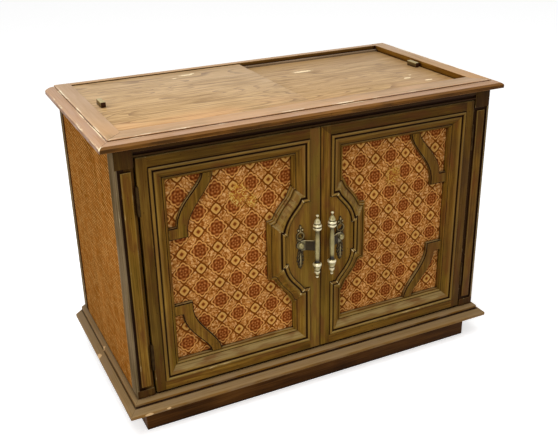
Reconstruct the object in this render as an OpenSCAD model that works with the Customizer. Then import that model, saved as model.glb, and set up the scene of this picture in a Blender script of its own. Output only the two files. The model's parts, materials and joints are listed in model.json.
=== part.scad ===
// Record-player console cabinet: two cloth-fronted doors below, two gliding panels in the top.
// Frame: X across, Y towards the back, Z up, in millimetres. The origin is on the floor, midway
// across the width and midway between the front of the pulls and the back.
// The modules draw with Y = 0 on the front face of the carcass, and seat() moves them back.

/* [Carcass] */
// Width over the side panels
carcass_w = 910; // [860:1:1000]
// Depth from the front face to the back
carcass_d = 473.5; // [455:0.5:520]
// Height between the base moulding and the top
carcass_h = 579; // [560:1:640]
// Thickness of the side panels, dividers and inner boards
board_t = 16; // [14:0.5:19]
// Width of each front post
post_w = 39.5; // [36:0.5:46]
// Depth of each front post
post_d = 45; // [40:1:55]
// Thickness of the back panel
back_t = 6.5; // [4:0.5:9]

/* [Base] */
// Height of the plinth boards
plinth_h = 63; // [50:1:80]
// Thickness of the plinth boards
plinth_t = 19; // [16:1:22]
// Height of the base moulding
base_h = 31; // [29:0.5:36]
// How far the base moulding stands out at the front
base_over_front = 26.5; // [24:0.5:32]
// How far the base moulding stands out at the sides
base_over_side = 27; // [24:0.5:32]
// How far the plinth is set back behind the carcass front
plinth_in_front = 7; // [4:0.5:14]
// How far the plinth is set in at the sides and back
plinth_in_side = 16.5; // [12:0.5:24]

/* [Top] */
// Thickness of the top frame
top_t = 19; // [18:0.5:24]
// How far the top stands out at the front
top_over_front = 15; // [12:0.5:22]
// How far the top stands out at the sides
top_over_side = 27.5; // [24:0.5:34]
// Width of the moulded edge
edge_in = 23.5; // [20:0.5:28]
// Drop from the flat to the outer edge
edge_drop = 10; // [8:0.5:11]
// Distance from the carcass front to the well
well_front = 52; // [50:1:60]
// Width of the back member of the top
well_back = 18.5; // [16:0.5:30]
// Distance from the carcass side to the well
well_side = 31; // [28:1:40]

/* [Gliding panels] */
// Thickness of each gliding panel
glide_t = 7; // [5:0.5:8]
// How far the left panel lies below the top
glide_drop_left = 2.5; // [2:0.5:3]
// How far the right panel lies below the top
glide_drop_right = 14.5; // [14.5:0.5:18]
// Distance from the middle to the inner end of the left panel
glide_seam = 10; // [0:1:14]
// Length of each panel pull
pull_l = 38; // [30:1:50]
// Width of each panel pull
pull_w = 11; // [9:0.5:14]
// Height of each panel pull
pull_h = 12; // [10:0.5:14]

/* [Doors] */
// Thickness of the doors
door_t = 22; // [20:0.5:23]
// Gap between a post and its door
hinge_gap = 4.5; // [4.4:0.1:5]
// Gap between the two doors
seam_gap = 1.5; // [1.2:0.1:2.5]
// Gap below the doors
sill_gap = 4.5; // [3:0.5:7]
// Gap between the doors and the rail above them
head_gap = 2.5; // [2:0.5:4]
// Width of the plain border round the picture moulding
door_border = 21.5; // [18:0.5:26]
// Width of the plain border beside the seam
seam_border = 24.5; // [20:0.5:28]
// Width of the picture moulding
mould_w = 38; // [36:0.5:40]
// Half of the height of the notch in the moulding
notch_h = 107; // [98:1:116]
// Width of the notch in the moulding
notch_w = 62; // [58:0.5:70]
// Thickness of the grille cloth with its backing
cloth_t = 1.2; // [1:0.1:1.6]
// Width of the curved braces
brace_w = 25.4; // [22:0.1:28]

/* [Pulls] */
// Distance from the seam to the middle of a pull plate
plate_x = 51.5; // [49:0.5:56]
// Distance from the seam to the middle of a pull bar
bar_x = 19; // [17:0.5:22]
// Distance from the door face to the middle of a pull bar
bar_y = 21; // [19:0.5:26]
// Length of the shank of a pull bar
shank_l = 77; // [66:1:90]

/* [Hinges] */
// Radius of the hinge pin
hinge_pin_r = 1; // [0.8:0.1:1.2]
// Length of each hinge
hinge_l = 63; // [48:1:78]

/* [Inside] */
// Width of the record bay between the dividers
bay_w = 410; // [370:1:430]
// Height from the bottom board to the motor board
bay_h = 435; // [400:1:445]
// Radius of the platter
platter_r = 133; // [120:1:134]
// Height of the platter
platter_h = 18; // [14:0.5:22]
// Distance from the tonearm pivot to the stylus
arm_l = 205; // [195:1:212]
// Radius of the opening in each speaker baffle
cone_r = 72; // [60:1:80]

/* [Hidden] */
$fn = 64;

// Colours of the finishes
oak_front = "#6b5426";
oak_dark = "#3a1d08";
oak_side = "#9a6a2e";
oak_top = "#a8855a";
cloth_colour = "#b5602c";
metal_colour = "#a39b7c";
inside_colour = "#8a7458";

// Clearance under a piece that glides, and the small overlap that joins shapes of one piece
glide_gap = 0.3;
bond = 0.4;

// Heights from the floor
ledge_z = plinth_h + base_h;
head_z = ledge_z + carcass_h;
top_z = head_z + top_t;

// Half widths and the back plane
half_w = carcass_w / 2;
base_half = half_w + base_over_side;
top_half = half_w + top_over_side;
well_half = half_w - well_side;
well_rear = carcass_d - well_back;
plinth_half = half_w - plinth_in_side;
bay_half = bay_w / 2;

// The turned ends of a pull bar are drawn for a shank of 77, and grow with it. Then its largest radius,
// and the middle of the depth from the front of the bars to the back
bar_k = shank_l / 77;
bar_r = 10.2 * bar_k;
mid_y = (carcass_d - max(base_over_front, bar_y + bar_r)) / 2;

module seat() {
    translate([0, -mid_y, 0]) children();
}

module flip(side) {
    if (side > 0) mirror([1, 0, 0]) children();
    else children();
}

// An outline in Y and Z, run along X
module along_x(x0, x1) {
    translate([x0, 0, 0]) rotate([90, 0, 90]) linear_extrude(x1 - x0) children();
}

// An outline in X and Z, run along Y
module along_y(y0, y1) {
    translate([0, y1, 0]) rotate([90, 0, 0]) linear_extrude(y1 - y0) children();
}

module block(x0, x1, y0, y1, z0, z1) {
    translate([x0, y0, z0]) cube([x1 - x0, y1 - y0, z1 - z0]);
}

// Points on an arc in the plane, from angle a0 to a1
function arc(cx, cy, r, a0, a1, n) =
    [for (i = [0 : n]) let (a = a0 + (a1 - a0) * i / n) [cx + r * cos(a), cy + r * sin(a)]];

// A point and the direction on a curve drawn by four control points
function curve_at(p, t) =
    p[0] * pow(1 - t, 3) + 3 * p[1] * t * pow(1 - t, 2) + 3 * p[2] * t * t * (1 - t) + p[3] * pow(t, 3);
function curve_dir(p, t) =
    3 * (p[1] - p[0]) * pow(1 - t, 2) + 6 * (p[2] - p[1]) * t * (1 - t) + 3 * (p[3] - p[2]) * t * t;
function unit(v) = v / norm(v);
// The normal on the right hand of a direction
function right_of(v) = [v[1], -v[0]];

// ---------------------------------------------------------------- plinth and base

plinth_front_y = plinth_in_front;
plinth_back_y = carcass_d - plinth_in_side;
// Width of the base moulding inside the carcass face
base_in = post_d;

module plinth_front() {
    color(oak_dark) seat()
        block(-plinth_half, plinth_half, plinth_front_y, plinth_front_y + plinth_t, 0, plinth_h);
}

// The back board reaches up between the side lengths of the base moulding
module plinth_back() {
    color(oak_dark) seat() along_y(plinth_back_y - plinth_t, plinth_back_y) polygon([
        [-plinth_half, 0], [plinth_half, 0], [plinth_half, plinth_h],
        [half_w - base_in, plinth_h], [half_w - base_in, ledge_z],
        [-half_w + base_in, ledge_z], [-half_w + base_in, plinth_h], [-plinth_half, plinth_h]
    ]);
}

module plinth_side() {
    block(-plinth_half, -plinth_half + plinth_t,
        plinth_front_y + plinth_t, plinth_back_y - plinth_t, 0, plinth_h);
}
module plinth_left() {
    color(oak_dark) seat() plinth_side();
}
module plinth_right() {
    color(oak_dark) seat() flip(1) plinth_side();
}

// Section of the base moulding: x is the distance in from the outer edge
base_lip_h = 8;
base_bevel_h = 17.5;
base_ledge_w = 10;
base_quirk = 1;
base_fall = 4;
base_round = 2.5;
function base_section(over, inner) =
    let (nose_x = over - base_ledge_w)
    concat(
        [[0, 0], [0, base_lip_h], [nose_x - base_quirk, base_bevel_h], [nose_x, base_bevel_h]],
        arc(nose_x + base_round, base_h - base_fall - base_round, base_round, 180, 100, 5),
        [[over - base_quirk, base_h], [over + inner, base_h], [over + inner, 0]]
    );

base_front_y = -base_over_front;
module base_moulding_front() {
    color(oak_front) seat() intersection() {
        along_x(-base_half, base_half)
            translate([base_front_y, plinth_h]) polygon(base_section(base_over_front, base_in));
        translate([0, 0, plinth_h]) linear_extrude(base_h) polygon([
            [-base_half, base_front_y], [base_half, base_front_y],
            [half_w - base_in, base_in], [-half_w + base_in, base_in]
        ]);
    }
}
module base_side() {
    intersection() {
        along_y(base_front_y, carcass_d)
            translate([-base_half, plinth_h]) polygon(base_section(base_over_side, base_in));
        translate([0, 0, plinth_h]) linear_extrude(base_h) polygon([
            [-base_half, base_front_y], [-half_w + base_in, base_in],
            [-half_w + base_in, carcass_d], [-base_half, carcass_d]
        ]);
    }
}
module base_moulding_left() {
    color(oak_front) seat() base_side();
}
module base_moulding_right() {
    color(oak_front) seat() flip(1) base_side();
}

// ---------------------------------------------------------------- carcass

inner_post_x = half_w - post_w;
rear_post_over = 3;
rear_post_w = board_t + rear_post_over;
rear_post_d = 19.5;
rear_post_y = carcass_d - rear_post_d;
side_groove_w = 6;
side_groove_d = 3;
back_sunk = 2.5;
back_face = carcass_d - back_sunk;
back_y = back_face - back_t;
back_rebate = 11;
// Front face of the baffles and of the well board, behind the closed doors
cloth_gap = 2.8;
face_y = door_t + cloth_t + cloth_gap;
face_t = 12;
inner_y = face_y + face_t;

// A board that fits between the posts and the back panel
module inner_board(z0, t, y0) {
    translate([0, 0, z0]) linear_extrude(t) polygon([
        [-inner_post_x, y0], [inner_post_x, y0], [inner_post_x, post_d],
        [half_w - rear_post_w, post_d], [half_w - rear_post_w, back_y],
        [-half_w + rear_post_w, back_y], [-half_w + rear_post_w, post_d], [-inner_post_x, post_d]
    ]);
}
module bottom_board() {
    color(inside_colour) seat() inner_board(ledge_z, board_t, face_y);
}

// The side panel, with the groove beside the rear post
module side_panel() {
    translate([0, 0, ledge_z]) linear_extrude(carcass_h) polygon([
        [-half_w, post_d], [-half_w, rear_post_y - side_groove_w],
        [-half_w + side_groove_d, rear_post_y - side_groove_w], [-half_w + side_groove_d, rear_post_y],
        [-half_w + board_t, rear_post_y], [-half_w + board_t, post_d]
    ]);
}
module left_side_panel() {
    color(oak_side) seat() side_panel();
}
module right_side_panel() {
    color(oak_side) seat() flip(1) side_panel();
}

// The front post: a head block, a long raised panel in a sunk ground, and a foot block
ground_d = 5;
head_block_h = 43;
foot_block_h = 19;
panel_end_gap = 8;
outer_bead_w = 4.5;
ground_w = 6;
panel_bevel = 2;
module front_post() {
    panel_x0 = -half_w + outer_bead_w + ground_w;
    panel_x1 = -half_w + post_w - ground_w;
    z0 = ledge_z + foot_block_h;
    z1 = head_z - head_block_h;
    block(-half_w, -half_w + post_w, ground_d, post_d, ledge_z, head_z);
    block(-half_w, -half_w + post_w, 0, ground_d + bond, ledge_z, z0);
    block(-half_w, -half_w + post_w, 0, ground_d + bond, z1, head_z);
    block(-half_w, -half_w + outer_bead_w, 0, ground_d + bond, z0 - bond, z1 + bond);
    translate([0, 0, z0 + panel_end_gap]) linear_extrude(z1 - z0 - 2 * panel_end_gap) polygon([
        [panel_x0, ground_d + bond], [panel_x0, panel_bevel], [panel_x0 + panel_bevel, 0],
        [panel_x1 - panel_bevel, 0], [panel_x1, panel_bevel], [panel_x1, ground_d + bond]
    ]);
}
module left_front_post() {
    color(oak_front) seat() front_post();
}
module right_front_post() {
    color(oak_front) seat() flip(1) front_post();
}

module rear_post() {
    translate([0, 0, ledge_z]) linear_extrude(carcass_h) polygon([
        [-half_w, rear_post_y], [-half_w, carcass_d], [-half_w + rear_post_w - back_rebate, carcass_d],
        [-half_w + rear_post_w - back_rebate, back_y], [-half_w + rear_post_w, back_y],
        [-half_w + rear_post_w, rear_post_y]
    ]);
}
module left_rear_post() {
    color(oak_front) seat() rear_post();
}
module right_rear_post() {
    color(oak_front) seat() flip(1) rear_post();
}

// Rail above the doors: a plain face, a sunk groove and a bead along the bottom
rail_h = 22;
rail_bead_h = 4.5;
rail_groove_h = 6;
rail_groove_d = 5;
rail_face_d = 1;
rail_z = head_z - rail_h;
catch_x = 60;
catch_r = 4;
catch_l = 14;
catch_y = door_t / 2;
catch_play = 0.1;
catch_flange_w = 2;
catch_flange_t = 0.8;
catch_ball_r = 2.5;
module front_top_rail() {
    color(oak_front) seat() difference() {
        along_x(-inner_post_x, inner_post_x) polygon(concat(
            [[inner_y, rail_z]],
            arc(rail_bead_h / 2, rail_z + rail_bead_h / 2, rail_bead_h / 2, 270, 90, 10),
            [[rail_groove_d, rail_z + rail_bead_h], [rail_groove_d, rail_z + rail_bead_h + rail_groove_h],
             [rail_face_d, rail_z + rail_bead_h + rail_groove_h], [rail_face_d, head_z], [inner_y, head_z]]
        ));
        for (x = [-catch_x, catch_x]) translate([x, catch_y, rail_z - 1]) cylinder(r = catch_r, h = catch_l + 1);
    }
}

// Ball catches let into the rail, each with a flange and a ball that meets the top of a door
module ball_catches() {
    color(metal_colour) seat() for (x = [-catch_x, catch_x]) translate([x, catch_y, rail_z]) {
        translate([0, 0, -catch_flange_t]) cylinder(r = catch_r + catch_flange_w, h = catch_flange_t);
        translate([0, 0, -catch_flange_t]) cylinder(r = catch_r - catch_play, h = catch_l);
        translate([0, 0, -head_gap + glide_gap + catch_ball_r]) sphere(r = catch_ball_r);
    }
}

motor_z = ledge_z + board_t + bay_h;
well_floor = motor_z + board_t;
module well_front_board() {
    color(inside_colour) seat() block(-inner_post_x, inner_post_x, face_y, inner_y, motor_z, rail_z);
}

// The back panel, with rows of vent slots behind each speaker and the motor
back_half = half_w - rear_post_w + back_rebate;
vent_w = 5;
vent_l = 60;
vent_n = 7;
vent_pitch = 16;
vent_up = 20;
back_edge = 2;
module back_panel() {
    color(inside_colour) seat() difference() {
        block(-back_half, back_half, back_y, back_face, ledge_z + back_edge, head_z - back_edge);
        for (x = [baffle_x, 0, -baffle_x], i = [0 : vent_n - 1])
            let (vent_x = x + (i - (vent_n - 1) / 2) * vent_pitch)
            block(vent_x - vent_w / 2, vent_x + vent_w / 2, back_y - 1, back_face + 1,
                well_floor + vent_up, well_floor + vent_up + vent_l);
    }
}

screw_r = 2;
screw_head_r = 4;
screw_l = 14;
screw_n = 4;
screw_margin = 30;
module back_panel_screws() {
    color(metal_colour) seat() {
        for (x = [-back_half + back_rebate / 2, back_half - back_rebate / 2])
            for (i = [0 : screw_n - 1])
                translate([x, back_face, ledge_z + screw_margin + i * (carcass_h - 2 * screw_margin) / (screw_n - 1)])
                    back_screw();
        for (x = [-bay_half - board_t / 2, bay_half + board_t / 2])
            translate([x, back_face, ledge_z + board_t + bay_h / 2]) back_screw();
    }
}
module back_screw() {
    rotate([-90, 0, 0]) {
        rotate_extrude() polygon(concat([[0, 0]], arc(0, -2.4, 4.4, 33, 90, 6)));
        translate([0, 0, -screw_l]) cylinder(r = screw_r, h = screw_l);
    }
}

// ---------------------------------------------------------------- top

// Section of the moulded edge: x is the distance in from the outer edge, y is up from the underside
quirk_h = 3.3;
edge_round = 1.5;
edge_belly = 1.4;
function top_section(w) =
    let (edge_z = top_t - edge_drop, quirk_x = edge_in - edge_round)
    concat(
        [[0, 0]],
        arc(edge_round, edge_z - edge_round, edge_round, 180, 115, 3),
        [[edge_in / 2, (edge_z + top_t - quirk_h) / 2 + edge_belly], [quirk_x, top_t - quirk_h]],
        arc(edge_in, top_t - edge_round, edge_round, 180, 90, 4),
        [[w, top_t], [w, 0]]
    );

front_w = top_over_front + well_front;
side_w = top_over_side + well_side;
mitre_y = side_w - top_over_front;
module top_frame_front() {
    color(oak_top) seat() intersection() {
        along_x(-top_half, top_half) translate([-top_over_front, head_z]) polygon(top_section(front_w));
        translate([0, 0, head_z]) linear_extrude(top_t) polygon([
            [-top_half, -top_over_front], [top_half, -top_over_front], [well_half, mitre_y],
            [well_half, well_front], [-well_half, well_front], [-well_half, mitre_y]
        ]);
    }
}
module top_side() {
    intersection() {
        along_y(-top_over_front, carcass_d) translate([-top_half, head_z]) polygon(top_section(side_w));
        translate([0, 0, head_z]) linear_extrude(top_t) polygon([
            [-top_half, -top_over_front], [-well_half, mitre_y], [-well_half, carcass_d], [-top_half, carcass_d]
        ]);
    }
}
module top_frame_left() {
    color(oak_top) seat() top_side();
}
module top_frame_right() {
    color(oak_top) seat() flip(1) top_side();
}
module top_frame_back() {
    color(oak_top) seat() block(-well_half, well_half, well_rear, carcass_d, head_z, top_z);
}

// Tracks: a ledge for the left panel and, below it, a groove for the right panel
glide_left_z = top_z - glide_drop_left - glide_t;
glide_right_z = top_z - glide_drop_right - glide_t;
ledge_w = 9;
track_wall = 3;
track_foot = 5;
module track() {
    upper_top = glide_left_z - glide_gap;
    upper_foot = glide_right_z + glide_t + glide_gap;
    lower_top = glide_right_z - glide_gap;
    along_x(-well_half, well_half) polygon([
        [0, upper_top], [ledge_w, upper_top], [ledge_w, upper_foot], [track_wall, upper_foot],
        [track_wall, lower_top], [ledge_w, lower_top], [ledge_w, lower_top - track_foot],
        [0, lower_top - track_foot]
    ]);
}
module front_panel_track() {
    color(inside_colour) seat() translate([0, well_front, 0]) track();
}
module back_panel_track() {
    color(inside_colour) seat() translate([0, well_rear, 0]) mirror([0, 1, 0]) track();
}

// The gliding panels and their pulls
glide_side = 1;
lower_lap = 14;
left_glide_x0 = -well_half + glide_side;
right_glide_x1 = well_half - glide_side;
// From the outer end of each panel to the middle of its pull
pull_inset_left = 18;
pull_inset_right = 11.5;
pull_ease = 1;
well_mid_y = (well_front + well_rear) / 2;
module left_top_panel() {
    color(oak_top) seat() block(left_glide_x0, glide_seam, well_front + glide_side, well_rear - glide_side,
        glide_left_z, glide_left_z + glide_t);
}
module right_top_panel() {
    color(oak_top) seat() block(-lower_lap, right_glide_x1,
        well_front + track_wall + glide_side, well_rear - track_wall - glide_side,
        glide_right_z, glide_right_z + glide_t);
}
// A plain block pull, its upper edges eased
module panel_pull(x, z) {
    w = pull_w / 2;
    translate([x, 0, z]) along_y(well_mid_y - pull_l / 2, well_mid_y + pull_l / 2)
        polygon([[w, 0], [w, pull_h - pull_ease], [w - pull_ease, pull_h], [pull_ease - w, pull_h],
            [-w, pull_h - pull_ease], [-w, 0]]);
}
module left_panel_pull() {
    color(oak_dark) seat() panel_pull(left_glide_x0 + pull_inset_left, glide_left_z + glide_t);
}
module right_panel_pull() {
    color(oak_dark) seat() panel_pull(right_glide_x1 - pull_inset_right, glide_right_z + glide_t);
}

// ---------------------------------------------------------------- doors

// A door is drawn from its hinge edge, x = 0, to the seam, and from its lower edge, z = 0.
door_x = inner_post_x - hinge_gap;
door_w = door_x - seam_gap / 2;
door_z = ledge_z + sill_gap;
door_h = rail_z - head_gap - door_z;
frame_x1 = door_w - seam_border;
frame_z1 = door_h - door_border;
mid_z = door_h / 2;

module hang(side) {
    seat() flip(side) translate([-door_x, 0, door_z]) children();
}

// The notch: a shoulder, an S-curve down to a small step, and a straight middle
shoulder = 16;
step_in = 6;
step_z = 34;
curve_n = 8;
notch_curve = [
    [frame_x1 - shoulder, notch_h], [frame_x1 - shoulder - 8, notch_h - 17],
    [frame_x1 - notch_w + step_in, step_z + 36], [frame_x1 - notch_w + step_in, step_z]
];
// The line on which the curved length of moulding is cut against the straight one
cut_corner = notch_curve[3];
function past_cut(t, w) =
    let (p = curve_at(notch_curve, t) + w * right_of(unit(curve_dir(notch_curve, t))) - cut_corner)
    p[0] + p[1];
function cut_t(w, lo, hi, n) =
    n == 0 ? (lo + hi) / 2 :
    let (m = (lo + hi) / 2)
    past_cut(m, w) > 0 ? cut_t(w, m, hi, n - 1) : cut_t(w, lo, m, n - 1);
function curve_ring(i, w) =
    let (t = (w <= 0 ? 1 : cut_t(w, 0.1, 1, 24)) * i / curve_n)
    curve_at(notch_curve, t) + w * right_of(unit(curve_dir(notch_curve, t)));

// Where the moulding lies at a distance w in from its outer line: the upper half of the loop
shoulder_dir = unit(curve_dir(notch_curve, 0));
shoulder_mitre = (right_of(shoulder_dir) + [0, 1]) / (1 + right_of(shoulder_dir) * [0, 1]);
function upper_loop(w) = concat(
    [[door_border + w, frame_z1 - mid_z - w], [frame_x1 - w, frame_z1 - mid_z - w],
     [frame_x1 - w, notch_h + w], notch_curve[0] + w * shoulder_mitre],
    [for (i = [1 : curve_n - 1]) curve_ring(i, w)],
    [cut_corner + w * [-1, 1], cut_corner + [-step_in, 0] + w * [-1, 1]]
);
function loop(w) =
    let (u = upper_loop(w), n = len(u))
    [for (p = concat(u, [for (i = [n - 1 : -1 : 0]) [u[i][0], -u[i][1]]])) p + [0, mid_z]];

// Section of the picture moulding: [distance in, depth behind the door face]
bead_r = 3.8;
lip_d = 13.5;
mould_section = concat(
    [[0, 1.6], [1.2, 1.6]],
    [for (p = arc(1.2 + bead_r, 0.2, bead_r, 180, 0, 6)) [p[0], 0.4 - p[1]]],
    [[9.6, 1.7], [10.8, 1.7], [12, -0.2], [15, -0.6], [19, 1.2], [23, 4.6], [27, 8], [30, 9.8],
     [30.8, 10.6], [31.6, 9.4], [33.4, 9.2], [34.6, 10.6], [35, lip_d], [mould_w, lip_d]],
    [[mould_w, door_t], [0, door_t]]
);

// A closed loop of moulding: one ring of points for each corner or curve point of the loop
module moulding_loop() {
    lines = [for (s = mould_section) [for (p = loop(s[0])) [p[0], s[1], p[1]]]];
    n = len(lines[0]);
    m = len(lines);
    points = [for (l = lines) each l];
    faces = [
        for (j = [0 : m - 1]) for (i = [0 : n - 1])
            let (a = j * n + i, b = j * n + (i + 1) % n,
                 c = ((j + 1) % m) * n + (i + 1) % n, d = ((j + 1) % m) * n + i)
            each [[a, b, c], [a, c, d]]
    ];
    polyhedron(points = points, faces = faces, convexity = 8);
}

module door_frame() {
    along_y(0, door_t) difference() {
        square([door_w, door_h]);
        polygon(loop(0));
    }
}
module left_door_frame() {
    color(oak_front) hang(-1) door_frame();
}
module right_door_frame() {
    color(oak_front) hang(1) door_frame();
}
module left_door_moulding() {
    color(oak_front) hang(-1) moulding_loop();
}
module right_door_moulding() {
    color(oak_front) hang(1) moulding_loop();
}

// Braces: flat S-curved bands across the outer corners. A brace is drawn from the corner of the
// opening, x in from the side and y down from the end.
brace_x = 80;
brace_z = 110.7;
brace_step_w = 2.4;
brace_step_d = 1.8;
brace_n = 8;
brace_face = 12;
// Width and height of the tab that runs from the band to the side
tab_w = 17.4;
tab_h = 27.3;
outer_curve = [[brace_x, 0], [brace_x - 2, 28], [tab_w + 2.6, 58], [tab_w, brace_z]];
inner_curve = [for (p = [[brace_x, 0], [brace_x - 1.4, 34], [tab_w + 3.2, 74], [tab_w, brace_z + 6]])
    p + [brace_w, 0]];
function brace_line(p, shift) = [for (i = [0 : brace_n]) let (t = i / brace_n)
    curve_at(p, t) + shift * right_of(unit(curve_dir(p, t)))];
module brace_outline(inset) {
    outer = brace_line(outer_curve, inset);
    inner = brace_line(inner_curve, -inset);
    n = len(outer);
    corner_x = tab_w + brace_w - inset;
    polygon(concat(
        [[brace_x + inset, 0]],
        [for (i = [1 : n - 1]) outer[i]],
        [[tab_w + inset, brace_z + inset], [0, brace_z + inset], [0, brace_z + tab_h - inset],
         [corner_x, brace_z + tab_h - inset]],
        [for (i = [n - 1 : -1 : 1]) inner[i]],
        [[brace_x + brace_w - inset, 0]]
    ));
}
module brace() {
    along_y(brace_face + brace_step_d, door_t) brace_outline(0);
    along_y(brace_face, brace_face + brace_step_d + bond) brace_outline(brace_step_w);
}
module door_braces() {
    x = door_border + mould_w;
    translate([x, 0, door_border + mould_w]) brace();
    translate([x, 0, frame_z1 - mould_w]) mirror([0, 0, 1]) brace();
}
module left_door_braces() {
    color(oak_front) hang(-1) door_braces();
}
module right_door_braces() {
    color(oak_front) hang(1) door_braces();
}

// Grille cloth, stapled flat to the back of the door
cloth_lap = 8;
module grille_cloth() {
    block(door_border - cloth_lap, frame_x1 + cloth_lap, door_t, door_t + cloth_t,
        door_border - cloth_lap, frame_z1 + cloth_lap);
}
module left_grille_cloth() {
    color(cloth_colour) hang(-1) grille_cloth();
}
module right_grille_cloth() {
    color(cloth_colour) hang(1) grille_cloth();
}

// Pierced pull plate: a disc behind the boss, an open ring with a fleur tip above it, a leaf below
plate_t = 2.5;
plate_disc_r = 10.5;
stem_w = 5;
ring_z = 22;
ring_r = 11;
ring_hole_r = 6;
lobe_x = 5;
lobe_z = 37.5;
lobe_r = 3.6;
tip_side = [[0, 50.5], [5.5, 43], [5, 36], [3, 31]];
leaf_side = [[3.6, -8], [2.5, -22], [14, -32], [0, -61.5]];
leaf_n = 8;
plate_pos = door_w + seam_gap / 2 - plate_x;
// Height of the pulls above the middle of the door
pull_up = 6;
pull_z = mid_z + pull_up;
// An outline that is alike on both sides of the plate's centre line
module both_sides(side) {
    half = [for (i = [0 : leaf_n]) curve_at(side, i / leaf_n)];
    polygon(concat(half, [for (i = [leaf_n : -1 : 0]) if (half[i][0] > 0) [-half[i][0], half[i][1]]]));
}
module pull_plate() {
    translate([plate_pos, 0, pull_z]) difference() {
        union() {
            along_y(-plate_t, 0) circle(r = plate_disc_r);
            along_y(-plate_t, 0) translate([-stem_w, 0]) square([2 * stem_w, ring_z - ring_hole_r / 2]);
            along_y(-plate_t, 0) translate([0, ring_z]) circle(r = ring_r);
            for (x = [-lobe_x, lobe_x]) along_y(-plate_t, 0) translate([x, lobe_z]) circle(r = lobe_r);
            along_y(-plate_t, 0) both_sides(tip_side);
            along_y(-plate_t, 0) both_sides(leaf_side);
        }
        along_y(-plate_t - 1, 1) translate([0, ring_z + 1]) circle(r = ring_hole_r);
    }
}
module left_pull_plate() {
    color(metal_colour) hang(-1) pull_plate();
}
module right_pull_plate() {
    color(metal_colour) hang(1) pull_plate();
}

// Turned pull bar on a flat arm that springs from the boss of the plate
bar_pos = door_w + seam_gap / 2 - bar_x;
// The shank sits a little low, between a knob below it and a capped finial above it
shank_low = 3 * bar_k;
shank_z0 = -shank_l / 2 - shank_low;
shank_z1 = shank_l / 2 - shank_low;
function from(z, points) = [for (p = points) bar_k * p + [0, z]];
bar_turning = concat(
    from(shank_z0, concat(
        [[0, -40.1]], arc(0, -36.5, 3.6, -60, 50, 4),
        [[3.4, -31.5], [5.8, -27.5], [6.6, -24], [5.6, -21], [6.6, -18], [9.4, -13.5], [10.2, -9.5],
         [9.4, -5], [6.2, -1], [4.2, 0]]
    )),
    [[4.7 * bar_k, shank_z0 / 2], [5.2 * bar_k, -shank_low], [4.6 * bar_k, shank_z1 / 2]],
    from(shank_z1, concat(
        [[4, 0], [5.6, 2.5], [9.4, 6], [10.2, 8.2], [9.6, 10.2], [8.2, 11], [9.3, 12.4], [9.6, 14.6],
         [8.2, 17.2], [6.4, 18.4], [7.2, 20.4], [6.4, 25], [3.8, 29.5], [2, 32], [1.8, 34.4]],
        arc(0, 38.4, 3.3, -50, 60, 4), [[0, 41.7]]
    ))
);
arm_h = 12;
boss_r = 8;
boss_h = 5;
// Plan of the arm from the middle of the boss to the middle of the bar
arm_reach = plate_x - bar_x;
arm_plan = [
    [0, -plate_t - 1.5], [0, -plate_t - 4], [9, -plate_t - 5.5], [arm_reach - 1, -bar_y - 1.5],
    [arm_reach + 1, -bar_y], [arm_reach + 1, -bar_y + 2], [11, -plate_t - 2.5], [7, -plate_t - 1.5]
];
module pull_bar() {
    translate([bar_pos, -bar_y, pull_z]) rotate_extrude() polygon(bar_turning);
    translate([plate_pos, -plate_t, pull_z]) rotate([90, 0, 0]) rotate_extrude() polygon(concat(
        [[0, 0], [boss_r + 1.5, 0], [boss_r + 1.5, 1.2], [boss_r, 2]],
        arc(0, boss_h - 0.5, boss_r - 0.6, 10, 80, 6),
        [[0, boss_h - 1.1 + boss_r]]
    ));
    translate([plate_pos, 0, pull_z - arm_h]) linear_extrude(2 * arm_h) polygon(arm_plan);
}
module left_pull_bar() {
    color(metal_colour) hang(-1) pull_bar();
}
module right_pull_bar() {
    color(metal_colour) hang(1) pull_bar();
}

// Butt hinges in the gap beside the post: three knuckles on a pin, its axis on the door face
hinge_x = -hinge_gap / 2;
knuckle_r = 2.1;
pin_play = 0.05;
leaf_t = 1.2;
leaf_w = 18;
hinge_inset = 60;
hinge_at = [hinge_inset, door_h - hinge_inset - hinge_l];
knuckle_l = hinge_l / 3;
knuckle_gap = 0.3;
// One leaf's flat part, clear of the knuckles, drawn to the right of the axis
module leaf_flat(z0, z1) {
    block(hinge_gap / 2 - leaf_t, hinge_gap / 2, knuckle_r + 0.5, leaf_w, z0, z1);
}
// A knuckle with the neck that joins it to its leaf
module knuckle(z0, z1) {
    translate([0, 0, z0]) cylinder(r = knuckle_r, h = z1 - z0);
    block(hinge_gap / 2 - leaf_t, hinge_gap / 2, 0, knuckle_r + 1, z0, z1);
}
module door_leaves() {
    for (z = hinge_at) translate([hinge_x, 0, z]) difference() {
        union() {
            leaf_flat(0, hinge_l);
            knuckle(knuckle_l + knuckle_gap, 2 * knuckle_l - knuckle_gap);
        }
        translate([0, 0, -1]) cylinder(r = hinge_pin_r + pin_play, h = hinge_l + 2);
    }
}
module cabinet_leaves() {
    for (z = hinge_at) translate([hinge_x, 0, z]) {
        mirror([1, 0, 0]) {
            leaf_flat(0, hinge_l);
            knuckle(0, knuckle_l);
            knuckle(2 * knuckle_l, hinge_l);
        }
        translate([0, 0, -1]) cylinder(r = hinge_pin_r, h = hinge_l + 2);
    }
}
module left_door_hinge_leaves() {
    color(metal_colour) hang(-1) door_leaves();
}
module right_door_hinge_leaves() {
    color(metal_colour) hang(1) door_leaves();
}
module cabinet_hinge_leaves() {
    color(metal_colour) {
        hang(-1) cabinet_leaves();
        hang(1) cabinet_leaves();
    }
}

// ---------------------------------------------------------------- inside

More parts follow.
